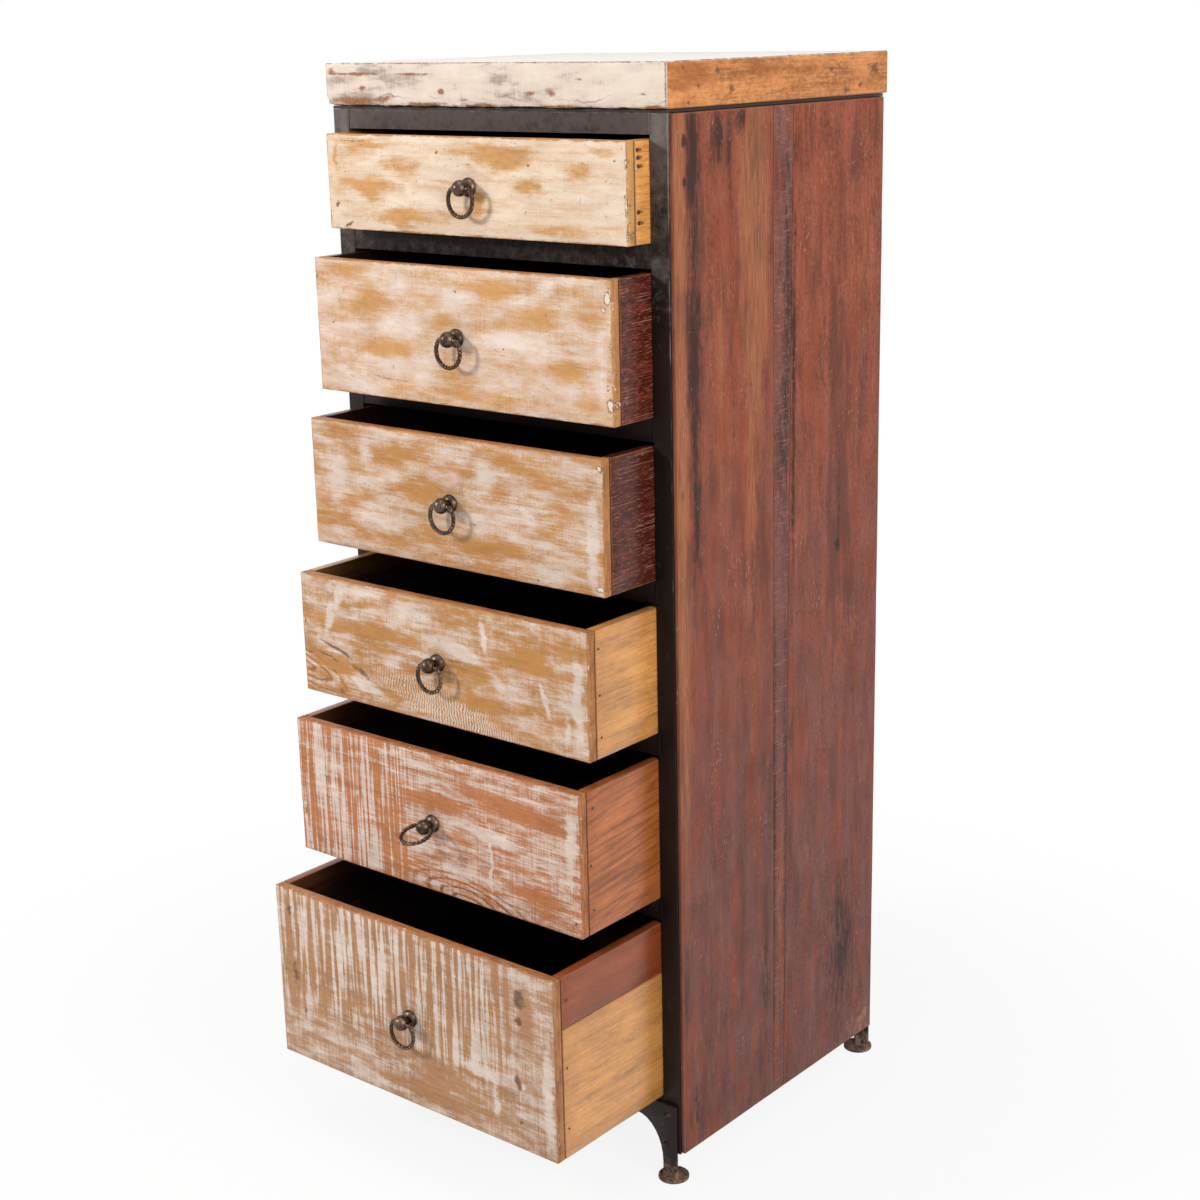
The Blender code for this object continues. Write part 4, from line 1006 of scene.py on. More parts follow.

# How each drawer looks. On the front, "deep" and "pale" are the brightness of wood and paint, "cover" is how
# much wash there is, "soft" how softly it ends and "ends" how brown the edges are. "blot" is the size of a
# smear in mm, and "smear", "patch", "brush" and "cross" are the weights of smears, patches, brush lines and
# cross scratches. A mark is its place across and up the front, its radii in mm, its turn in degrees and its
# weight: above nought the wash lies thicker there, below nought the wood is bare. Stains and flakes are set in
# the same way, and "sway" is how far the marks are bent. "stripes" are saw lines, with their pitch in mm, the
# place where they end and their weight. "comb" is a combed patch and "whorls" are nested ovals in the grain.
# On the sides, "bright" is the brightness of the wood, "tilt" the slope of its grain in degrees, "lines",
# "scratches" and "weep" are the weights of growth lines, scratches and rust, and "kept" is how much painted
# shade darkens the wood inside the frame, by the post.
DRAWER_LOOKS = (
    {
        **PLAIN_LOOK, "wood": "honey_wood", "deep": 0.97, "paint": "cream_paint", "pale": 0.93, "grain": 0.6,
        "cover": 0.98, "soft": 0.80, "sway": 3.5, "ends": 0.1,
        "blot": (90, 14), "smear": 2.0, "patch": 1.2, "brush": 1.4, "cross": 0.4,
        "side": "gold_wood", "bright": 1.4, "weep": 1.0, "tilt": 0.0, "lines": 0.05,
        "flakes": (
            (0.995, 0.40, 2.5, 16, 0, 0.8), (0.997, 0.10, 2.0, 9, 0, 0.8), (0.996, 0.78, 2.0, 8, 0, 0.7),
        ),
        "marks": (
            (0.15, 0.46, 60, 15, 0, -2.0), (0.25, 0.17, 52, 11, 0, -1.9), (0.63, 0.81, 58, 13, 0, -1.8),
            (0.69, 0.50, 26, 13, 0, -1.9), (0.27, 0.66, 38, 11, 8, -1.4), (0.14, 0.91, 60, 10, 0, -1.2),
            (0.80, 0.12, 60, 8, 0, -1.1), (0.85, 0.68, 26, 10, 0, -1.2), (0.03, 0.75, 7, 22, 0, -1.3),
            (0.48, 0.84, 50, 9, 0, -0.7), (0.93, 0.90, 18, 6, 0, -1.0), (0.45, 0.16, 60, 8, 0, -0.8),
            (0.525, 0.33, 17, 17, 0, -1.4), (0.40, 0.53, 30, 5, 0, -0.9), (0.51, 0.66, 26, 6, 0, -0.8),
        ),
        "stains": (
            (0.035, 0.26, 4, 4, 0, 1.5), (0.395, 0.84, 1.6, 3, 0, 1.6), (0.70, 0.73, 3, 1.6, 0, 1.5),
            (0.96, 0.80, 2.5, 1.6, 0, 1.3), (0.07, 0.06, 12, 2.4, -25, 1.1), (0.10, 0.93, 40, 1.6, 2, 0.8),
        ),
    },
    {
        **PLAIN_LOOK, "wood": "honey_wood", "deep": 0.95, "pale": 0.98, "grain": 0.55,
        "cover": 0.56, "soft": 0.8, "ends": 0.6,
        "blot": (60, 20), "smear": 2.4, "patch": 1.8, "brush": 1.1, "cross": 0.6,
        "side": "maroon_wood", "lines": 0.4, "scratches": 1.3,
        "flakes": (
            (0.986, 0.87, 6, 9, 0, 1.3), (0.975, 0.79, 4, 4, 0, 1.1), (0.990, 0.15, 6, 9, 0, 1.3),
            (0.984, 0.27, 2.4, 4, 0, 0.9), (0.993, 0.56, 2, 7, 0, 0.7),
        ),
        "marks": (
            (0.20, 0.70, 60, 20, 0, -0.9), (0.25, 0.38, 50, 15, 0, -1.0), (0.10, 0.92, 50, 10, 0, -0.7),
            (0.62, 0.86, 60, 13, 0, -0.9), (0.55, 0.10, 60, 11, 0, -1.0), (0.86, 0.36, 36, 20, 0, -1.0),
            (0.76, 0.72, 50, 18, 0, -0.8), (0.46, 0.62, 24, 14, 0, -0.9), (0.30, 0.55, 46, 14, 0, 0.9),
            (0.70, 0.52, 60, 13, 0, 0.9), (0.52, 0.80, 34, 12, 0, 0.9), (0.97, 0.40, 9, 55, 0, 0.5),
            (0.35, 0.25, 60, 9, 0, 0.8), (0.80, 0.90, 16, 10, 0, 0.9), (0.10, 0.14, 34, 12, 0, 0.6),
            (0.93, 0.74, 26, 22, 0, -0.8), (0.92, 0.16, 26, 12, 0, -0.6),
        ),
        "stains": (
            (0.50, 0.83, 1.8, 2.4, 0, 1.5), (0.06, 0.52, 2.0, 2.0, 0, 1.3), (0.01, 0.86, 2.0, 3.0, 0, 1.2),
            (0.24, 0.15, 60, 1.4, 2, 0.7), (0.66, 0.45, 1.6, 1.6, 0, 1.4),
        ),
    },
    {
        **PLAIN_LOOK, "wood": "amber_wood", "deep": 1.0, "grain": 0.55,
        "cover": 0.44, "soft": 0.66, "ends": 0.7,
        "blot": (60, 18), "smear": 2.2, "patch": 1.8, "brush": 1.3, "cross": 0.5,
        "side": "maroon_wood", "lines": 0.5, "scratches": 1.2, "kept": 0.5,
        "flakes": ((0.985, 0.06, 8, 4, 0, 1.0), (0.990, 0.93, 5, 5, 0, 0.9)),
        "marks": (
            (0.09, 0.55, 24, 46, 0, 0.7), (0.35, 0.80, 80, 11, 0, -0.9), (0.60, 0.20, 70, 12, 0, -0.7),
            (0.62, 0.76, 22, 22, 0, 1.3), (0.20, 0.78, 14, 11, 0, 1.2), (0.965, 0.40, 9, 60, 0, 1.4),
            (0.75, 0.33, 60, 10, 0, 0.7), (0.40, 0.58, 60, 14, 0, -0.9), (0.20, 0.30, 30, 16, 0, 0.7),
            (0.88, 0.55, 30, 20, 0, -0.7), (0.80, 0.80, 50, 10, 0, -0.5), (0.30, 0.95, 60, 5, 0, 0.6),
            (0.55, 0.42, 50, 8, 0, 0.5),
        ),
        "stains": (
            (0.44, 0.08, 2.0, 2.0, 0, 1.5), (0.79, 0.03, 1.6, 4.0, 0, 1.4), (0.54, 0.60, 0.9, 16, 0, 0.8),
            (0.76, 0.21, 1.6, 1.6, 0, 1.2),
        ),
    },
    {
        **PLAIN_LOOK, "wood": "amber_wood", "deep": 0.93, "grain": 0.6,
        "cover": 0.38, "soft": 0.6, "ends": 0.8,
        "blot": (60, 18), "smear": 2.2, "patch": 1.9, "brush": 1.3, "cross": 0.6,
        "side": "gold_wood", "lines": 0.18,
        "whorls": ((-0.03, 0.24, 130, 30, 14, 5, 0.5),),
        "comb": (3.8, 0.55, 0.10, 130, 26, 3.0),
        "marks": (
            (0.10, 0.66, 7, 26, 18, 1.8), (0.14, 0.84, 8, 20, 20, 1.5), (0.42, 0.84, 40, 13, 8, 1.1),
            (0.56, 0.64, 55, 10, 10, 1.2), (0.66, 0.80, 5, 24, -12, 1.6), (0.86, 0.40, 5, 24, -20, 1.6),
            (0.965, 0.45, 8, 55, 0, 1.5), (0.30, 0.62, 70, 14, 0, -0.9), (0.12, 0.28, 50, 14, 8, -1.1),
            (0.80, 0.66, 46, 15, 0, -1.0), (0.66, 0.25, 55, 12, 0, -0.8), (0.24, 0.15, 30, 9, 10, 1.1),
            (0.93, 0.20, 4, 20, 0, 1.3), (0.70, 0.45, 16, 7, 30, 1.0), (0.22, 0.92, 40, 8, 0, 0.8),
        ),
        "stains": (
            (0.13, 0.40, 46, 3.2, 17, 1.1), (0.22, 0.26, 26, 5, 20, 0.9), (0.26, 0.55, 2, 2, 0, 1.2),
            (0.01, 0.60, 2.0, 5.0, 0, 1.2), (0.10, 0.33, 40, 2.0, 14, 0.8),
        ),
    },
    {
        **PLAIN_LOOK, "wood": "russet_wood", "deep": 0.92, "grain": 0.8,
        "cover": 0.44, "soft": 0.5, "ends": 0.85,
        "blot": (60, 13), "smear": 1.5, "patch": 2.0, "brush": 1.8, "cross": 1.0,
        "side": "red_wood", "tilt": -5.0, "lines": 0.70, "kept": 0.45,
        "whorls": ((0.62, 0.00, 125, 38, 6, 6, 0.5),),
        "stripes": (3.4, 0.38, -0.2, 1.6),
        "marks": (
            (0.12, 0.62, 64, 70, 0, 0.55), (0.80, 0.76, 90, 12, 6, -1.4), (0.52, 0.66, 70, 12, 4, -1.0),
            (0.72, 0.52, 46, 9, 4, 1.0), (0.97, 0.62, 9, 50, 0, 1.4), (0.70, 0.32, 3, 50, 0, 1.2),
            (0.85, 0.20, 50, 12, 6, -1.0), (0.40, 0.92, 110, 7, 3, 0.6), (0.60, 0.20, 40, 16, 0, 0.5),
        ),
        "stains": ((0.02, 0.30, 3, 9, 0, 1.0), (0.98, 0.10, 4, 4, 0, 1.0)),
    },
    {
        **PLAIN_LOOK, "wood": "brown_wood", "deep": 0.90, "grain": 0.7,
        "cover": 0.38, "soft": 0.58, "ends": 0.8,
        "blot": (55, 17), "smear": 1.5, "patch": 2.0, "brush": 1.1, "cross": 1.2,
        "side": "red_wood", "tilt": 0.0, "lines": 0.10, "kept": 0.4,
        "stripes": (6.4, 0.82, 0.34, 1.8),
        "marks": (
            (0.05, 0.60, 13, 80, 0, -1.0), (0.91, 0.75, 12, 46, 0, -1.0), (0.975, 0.40, 8, 80, 0, 1.2),
            (0.55, 0.10, 110, 15, 0, -1.0), (0.75, 0.36, 55, 11, 0, 0.8), (0.25, 0.20, 80, 10, 0, 0.6),
            (0.80, 0.22, 6, 30, 0, 1.0), (0.40, 0.06, 80, 8, 0, 0.6),
            (0.895, 0.83, 4, 4, 0, 3.0), (0.89, 0.36, 4, 4, 0, 3.0), (0.34, 0.78, 130, 52, 0, 0.55),
            (0.60, 0.24, 110, 30, 0, -0.45),
        ),
        "stains": (
            (0.045, 0.88, 8, 14, 0, 0.8), (0.06, 0.50, 7, 26, 0, 0.9), (0.09, 0.30, 4, 8, 0, 0.9),
            (0.885, 0.84, 12, 15, 0, 1.5), (0.885, 0.72, 6, 7, 0, 1.6), (0.875, 0.37, 7, 12, 0, 1.4),
            (0.88, 0.15, 3, 4, 0, 1.1), (0.87, 0.55, 10, 40, 0, 0.35),
        ),
    },
)


class CHEST_OT_top_slab(bpy.types.Operator):
    """Builds the thick top slab with its chipped front edge"""

    bl_idname = "chest.top_slab"
    bl_label = "Top slab"

    def execute(self, context):
        sizes = context.scene.chest_sizes
        low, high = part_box("top_board")
        piece = board("worn_top_slab", low, high, sizes.slab_ease, sizes.planing, (0.004, 0.009, 0.004))

        # The front lower edge and its left corner have broken away in flakes
        edge_reach, corner_reach, corner_long = 0.0045, 0.004, 0.03
        coarse, fine = 70.0, 210.0
        group = piece.vertex_groups.new(name="flaked_edge")
        for vertex in piece.data.vertices:
            off = math.hypot(vertex.co.y - low.y, (vertex.co.z - low.z) * 0.8)
            corner = max(0.0, 1.0 - (vertex.co.x - low.x) / corner_long)
            ragged = noise.noise(vertex.co * coarse) + 0.6 * noise.noise(vertex.co * fine)
            reach = edge_reach + corner_reach * corner
            weight = max(0.0, 1.0 - off / reach) * min(1.0, max(0.0, 0.35 + 0.9 * ragged + 0.6 * corner))
            if weight > 0.0:
                group.add([vertex.index], weight, "REPLACE")
        applied(piece, "DISPLACE", vertex_group="flaked_edge", strength=-sizes.chip_depth, mid_level=0.0)
        finish = slab_finish(low, high, context.scene.chest_colours)
        settle(piece, "cabinet", "top_wood", ["top_board"], finish)
        return {"FINISHED"}


class CHEST_OT_side_boards(bpy.types.Operator):
    """Builds the upright boards of both sides"""

    bl_idname = "chest.side_boards"
    bl_label = "Side boards"

    def execute(self, context):
        sizes = context.scene.chest_sizes
        colours = context.scene.chest_colours
        for hand, node in ((1, "right_panel"), (-1, "left_panel")):
            low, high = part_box(node)
            face = high.x if hand > 0 else low.x
            word = node.split("_")[0]

            # Three boards: a wide one in front, a narrow strip and a wide one behind. The joints lean.
            edges = [(low.y, low.y), *PANEL_JOINTS[word], (high.y, high.y)]
            for index, part in enumerate(("front", "middle", "rear")):
                start, end = edges[index], edges[index + 1]
                gap = 0.0001
                corner_low = Vector((low.x, min(start) + gap, low.z))
                corner_high = Vector((high.x, max(end) - gap, high.z))

                def corner(y, z):
                    return lambda v: abs(v.co.y - y) < CLOSE and abs(v.co.z - z) < CLOSE

                moves = []
                for y, pair in ((corner_low.y, start), (corner_high.y, end)):
                    for z, place in ((high.z, pair[0]), (low.z, pair[1])):
                        side = gap if pair is start else -gap
                        moves.append((corner(y, z), (0.0, place + side - y, 0.0)))
                name = f"{word}_{part}_board"
                pitch = (0.03, 0.012, 0.016)
                piece = board(name, corner_low, corner_high, sizes.panel_ease, sizes.planing, pitch, moves)
                wood, bright, dull = PANEL_TONES[part]
                tone = shade(getattr(colours, wood), bright)
                dusk = shade(colours.panel_dusk, dull)
                seed = 5.0 + 7.0 * index + (0.0 if hand > 0 else 31.0)
                marks = [on_face(face, kind) for kind in PANEL_MARKS[part if hand > 0 else "left"]]
                ridges = 0.5 if part == "middle" else 0.0
                title = f"waxed_reclaimed_hardwood_{word}_{part}"
                finish = panel_finish(
                    title, tone, dusk, corner_low, corner_high, seed, marks, ridges, PANEL_GRAINS[part]
                )
                settle(piece, "cabinet", "panel_wood", [node], finish)
        return {"FINISHED"}


class CHEST_OT_back_planks(bpy.types.Operator):
    """Builds the planks of the back"""

    bl_idname = "chest.back_planks"
    bl_label = "Back planks"

    def execute(self, context):
        sizes = context.scene.chest_sizes
        colours = context.scene.chest_colours
        low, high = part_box("back_panel")
        count = 3
        gap = 0.0002
        pitch = (0.015, 0.03, 0.02)
        wide = (high.x - low.x) / count
        for i in range(count):
            start = Vector((low.x + i * wide + gap, low.y, low.z))
            end = Vector((low.x + (i + 1) * wide - gap, high.y, high.z))
            piece = board(f"back_plank_{i + 1}", start, end, sizes.panel_ease, sizes.planing, pitch)
            tone = shade(colours.back_wood, 0.9 + 0.1 * i)
            finish = plank_finish(f"rough_sawn_back_plank_{i + 1}", tone, Z, 40.0 + 9 * i)
            settle(piece, "cabinet", "back_wood", ["back_panel"], finish)
        return {"FINISHED"}


class CHEST_OT_iron_frame(bpy.types.Operator):
    """Builds the painted angle-iron frame and its weld beads"""

    bl_idname = "chest.iron_frame"
    bl_label = "Iron frame"

    def execute(self, context):
        sizes = context.scene.chest_sizes
        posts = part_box("left_side_frame")[0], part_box("right_side_frame")[1]
        finish = iron_finish(*posts, context.scene.chest_colours)
        for node in IRON_NODES:
            piece = softened(node, f"{node}_iron", sizes.iron_edge)
            settle(piece, "cabinet", "black_iron", [node], finish)

        # One bead: a rod flattened against the iron, rippled as the weld pool froze, ground nearly flush
        deselect()
        ripples = 16
        bpy.ops.mesh.primitive_cylinder_add(vertices=10, radius=0.5, depth=1.0)
        bead = named("weld_bead")
        bpy.ops.object.mode_set(mode="EDIT")
        choose(bead, "EDGE", lambda e: abs(e.verts[0].co.z - e.verts[1].co.z) > 0.9)
        bpy.ops.mesh.subdivide(number_cuts=ripples - 1)
        for i in range(ripples + 1):
            level = -0.5 + i / ripples
            choose(bead, "VERT", lambda v: abs(v.co.z - level) < 0.01)
            swell = 0.82 + 0.18 * (i % 2) + 0.12 * noise.noise((i * 0.7, 0.0, 3.0))
            if i in (0, ripples):
                swell = 0.55
            bpy.ops.transform.resize(value=(swell, swell, 1.0))
        bpy.ops.object.mode_set(mode="OBJECT")
        post_wide, rail_tall, longest, margin = 0.0220, 0.0240, 0.0225, 0.001
        places = []
        for node in ("top_frame",) + LEVELS:
            low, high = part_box(node)
            top = high.z if node == "top_frame" else low.z + rail_tall
            tall = min(longest, top - low.z - 2 * margin)
            size = Matrix.Diagonal((sizes.bead_width, 2 * sizes.bead_rise, tall, 1.0))
            for x in (posts[0].x + post_wide, posts[1].x - post_wide):
                places.append(Matrix.Translation((x, posts[0].y, low.z + margin + tall / 2)) @ size)
        beads = copied("weld_beads", bead, places)
        bpy.data.objects.remove(bead, do_unlink=True)
        settle(beads, "cabinet", "black_iron", [], finish)
        return {"FINISHED"}


# The two bolts of a foot: how far each stands off the middle of the flange, and its height
BOLTS = ((0.0030, 0.079), (0.0045, 0.043))


class CHEST_OT_feet(bpy.types.Operator):
    """Builds the cast feet and their bolts"""

    bl_idname = "chest.feet"
    bl_label = "Feet"

    def execute(self, context):
        sizes = context.scene.chest_sizes
        rust = foot_finish(context.scene.chest_colours)
        head_rise, casting_edge, flange, inset = 0.0026, 0.0008, 0.0040, 0.0128
        head = domed_head("bolt_head", sizes.bolt_radius, head_rise)
        left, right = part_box("left_side_frame"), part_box("right_side_frame")
        for node in FEET:
            piece = softened(node, f"{node}_casting", casting_edge)
            settle(piece, "cabinet", "foot_iron", [node], rust)
            out = 1 if "rear" in node else -1
            depth = left[1].y + flange if out > 0 else left[0].y - flange
            middle = right[1].x - inset if "right" in node else left[0].x + inset
            turn = Matrix.Rotation(math.radians(-90.0 * out), 4, "X")
            places = [Matrix.Translation((middle - off, depth, up)) @ turn for off, up in BOLTS]
            bolts = copied(f"{node}_bolts", head, places)
            settle(bolts, "cabinet", "foot_iron", [], rust)
        bpy.data.objects.remove(head, do_unlink=True)
        return {"FINISHED"}


# Drawers, in metres: height of the seam in the lowest one's side, half the seam, room round the bottom in its
# groove, how far the cutter of the groove reaches into the drawer and past the ends, radius of the hole for a
# pull's shank, rise of a nail head, how deep it is driven in, and how far it is from the face of the back
SIDE_SEAM = 0.1490
HAIR = 0.0001
PLAY = 0.0003
CUTTER_IN = 0.004
CUTTER_PAST = 0.01
SHANK_HOLE = 0.0028
NAIL_RISE = 0.0005
NAIL_SINK = 0.0004
NAIL_BACK = 0.005

# Nails at an end of a front: how far behind it, and how high by share of its height
TOP_NAILS = (0.0050, (0.21, 0.32, 0.74, 0.83, 0.91))
OTHER_NAILS = (0.0070, (0.16, 0.5, 0.86))


class CHEST_OT_drawers(bpy.types.Operator):
    """Builds the boards of the six drawers and their nails"""

    bl_idname = "chest.drawers"
    bl_label = "Drawers"

    def execute(self, context):
        sizes = context.scene.chest_sizes
        colours = context.scene.chest_colours
        nail = nail_finish()
        head = domed_head("nail_head", sizes.nail_radius, NAIL_RISE)
        for number, look in enumerate(DRAWER_LOOKS, start=1):
            name = f"drawer_{number}"
            tone = getattr(colours, look["side"])
            # The painted shade of the inside of this drawer, with painted light near its top edge
            stain = inside_shade_finish(number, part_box(f"{name}_front")[1].z, tone, colours)
            self.front(number, look, sizes, colours, stain)
            for hand, word in ((-1, "left"), (1, "right")):
                self.side(number, hand, word, look, sizes, colours, stain)
            low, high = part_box(f"{name}_back")
            pitch = (0.02, 0.02, 0.02)
            piece = board(f"{name}_back_board", low, high, sizes.board_ease, sizes.planing, pitch)
            self.stain(piece, (0, -1, 0))
            finish = plank_finish(f"rough_sawn_back_board_{number}", shade(tone, 0.8), X, 50.0 + number)
            settle(piece, name, f"side_{number}_wood", [f"{name}_back"], finish, stain)
            low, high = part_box(f"{name}_bottom")
            ease, planing, pitch = 0.0006, 0.0001, (0.03, 0.03, 0.03)
            piece = board(f"{name}_bottom_board", low, high, ease, planing, pitch)
            self.stain(piece, (0, 0, 1))
            finish = plank_finish(f"rough_sawn_bottom_board_{number}", colours.back_wood, X, 60.0 + number)
            settle(piece, name, "bottom_wood", [f"{name}_bottom"], finish, stain)
            self.nails(number, head, nail)
        bpy.data.objects.remove(head, do_unlink=True)
        return {"FINISHED"}

    def stain(self, piece, inward):
        """Gives the second finish, the painted shade of the inside, to the faces that look into the drawer."""
        inward = Vector(inward)
        for face in piece.data.polygons:
            if face.normal.dot(inward) > 0.3:
                face.material_index = 1

    def front(self, number, look, sizes, colours, stain):
        """The front board, with the hole for the shank of the pull."""
        name = f"drawer_{number}"
        low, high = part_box(f"{name}_front")
        pitch = (0.010, 0.012, 0.010)
        piece = board(f"{name}_front_board", low, high, sizes.board_ease, sizes.planing, pitch)
        self.stain(piece, (0, 1, 0))
        deselect()
        middle = (low + high) / 2
        bpy.ops.mesh.primitive_cylinder_add(
            vertices=16, radius=SHANK_HOLE, depth=0.04, location=middle, rotation=(math.pi / 2, 0.0, 0.0)
        )
        cut_away(piece, bpy.context.object)
        finish = front_finish(number, low, high, look, colours)
        settle(piece, name, f"front_{number}_wood", [f"{name}_front"], finish, stain)

    def side(self, number, hand, word, look, sizes, colours, stain):
        """A side board, or two for the lowest drawer, with the groove for the bottom."""
        name = f"drawer_{number}"
        low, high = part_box(f"{name}_{word}_side")
        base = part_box(f"{name}_bottom")
        parts = [("", low.z, high.z, look["side"])]
        if number == 6:
            seam = low.z + SIDE_SEAM
            lower = ("_lower", low.z, seam - HAIR, "gold_wood")
            parts = [lower, ("_upper", seam + HAIR, high.z, "umber_wood")]
        for suffix, start, end, wood in parts:
            corner_low = Vector((low.x, low.y, start))
            corner_high = Vector((high.x, high.y, end))
            title = f"{name}_{word}_side_board{suffix}"
            pitch = (0.012, 0.014, 0.014)
            piece = board(title, corner_low, corner_high, sizes.board_ease, sizes.planing, pitch)
            self.stain(piece, (-hand, 0, 0))
            if suffix != "_upper":
                reach = base[1].x if hand > 0 else base[0].x
                inner = low.x if hand > 0 else high.x
                edges = sorted((reach + hand * PLAY, inner - hand * CUTTER_IN))
                groove_low = (edges[0], low.y - CUTTER_PAST, base[0].z - PLAY)
                groove_high = (edges[1], high.y + CUTTER_PAST, base[1].z + PLAY)
                cut_away(piece, plain_box("groove", groove_low, groove_high))
            seed = 70.0 + 3 * number + (0.0 if hand > 0 else 1.5) + (0.7 if suffix == "_upper" else 0.0)
            face = high.x if hand > 0 else low.x
            nails = self.nailed(number, hand)
            weeps = on_face(face, [(y + 0.003, z, 9, 3.6, look["weep"]) for y, z in nails])
            tone = shade(getattr(colours, wood), look["bright"])
            title = f"lacquered_board_{number}_{word}{suffix}"
            finish = side_finish(title, tone, corner_low, corner_high, seed, look, SIDE_GRAINS[wood], weeps)
            settle(piece, name, f"side_{number}_wood", [f"{name}_{word}_side"], finish, stain)

    def nailed(self, number, hand):
        """Where nails go in behind one end of the front board: how far back and how high."""
        low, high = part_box(f"drawer_{number}_front")
        back, shares = TOP_NAILS if number == 1 else OTHER_NAILS
        places = []
        for share in shares:
            wander = 0.004 * noise.noise((number * 1.7, share * 5.0, hand * 2.0))
            places.append((high.y + back + wander, low.z + share * (high.z - low.z) + wander))
        return places

    def nails(self, number, head, finish):
        """Nails behind the front board and through the sides into the back, largest on the top drawer."""
        low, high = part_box(f"drawer_{number}_front")
        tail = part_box(f"drawer_{number}_back")
        size = 1.6 if number == 1 else 1.0
        wider = Matrix.Diagonal((size, size, 1.0, 1.0))
        places = []
        for hand, face in ((-1, low.x), (1, high.x)):
            turn = Matrix.Rotation(math.radians(90.0 * hand), 4, "Y") @ wider
            sink = face - hand * NAIL_SINK
            for y, z in self.nailed(number, hand):
                behind = (sink, tail[0].y + NAIL_BACK, low.z + 0.95 * (z - low.z))
                places.append(Matrix.Translation((sink, y, z)) @ turn)
                places.append(Matrix.Translation(behind) @ turn)
        piece = copied(f"drawer_{number}_nails", head, places)
        settle(piece, f"drawer_{number}", f"side_{number}_wood", [], finish)


# Rings that stand out from their ball, and by how many degrees
RAISED = {5: -72.0}


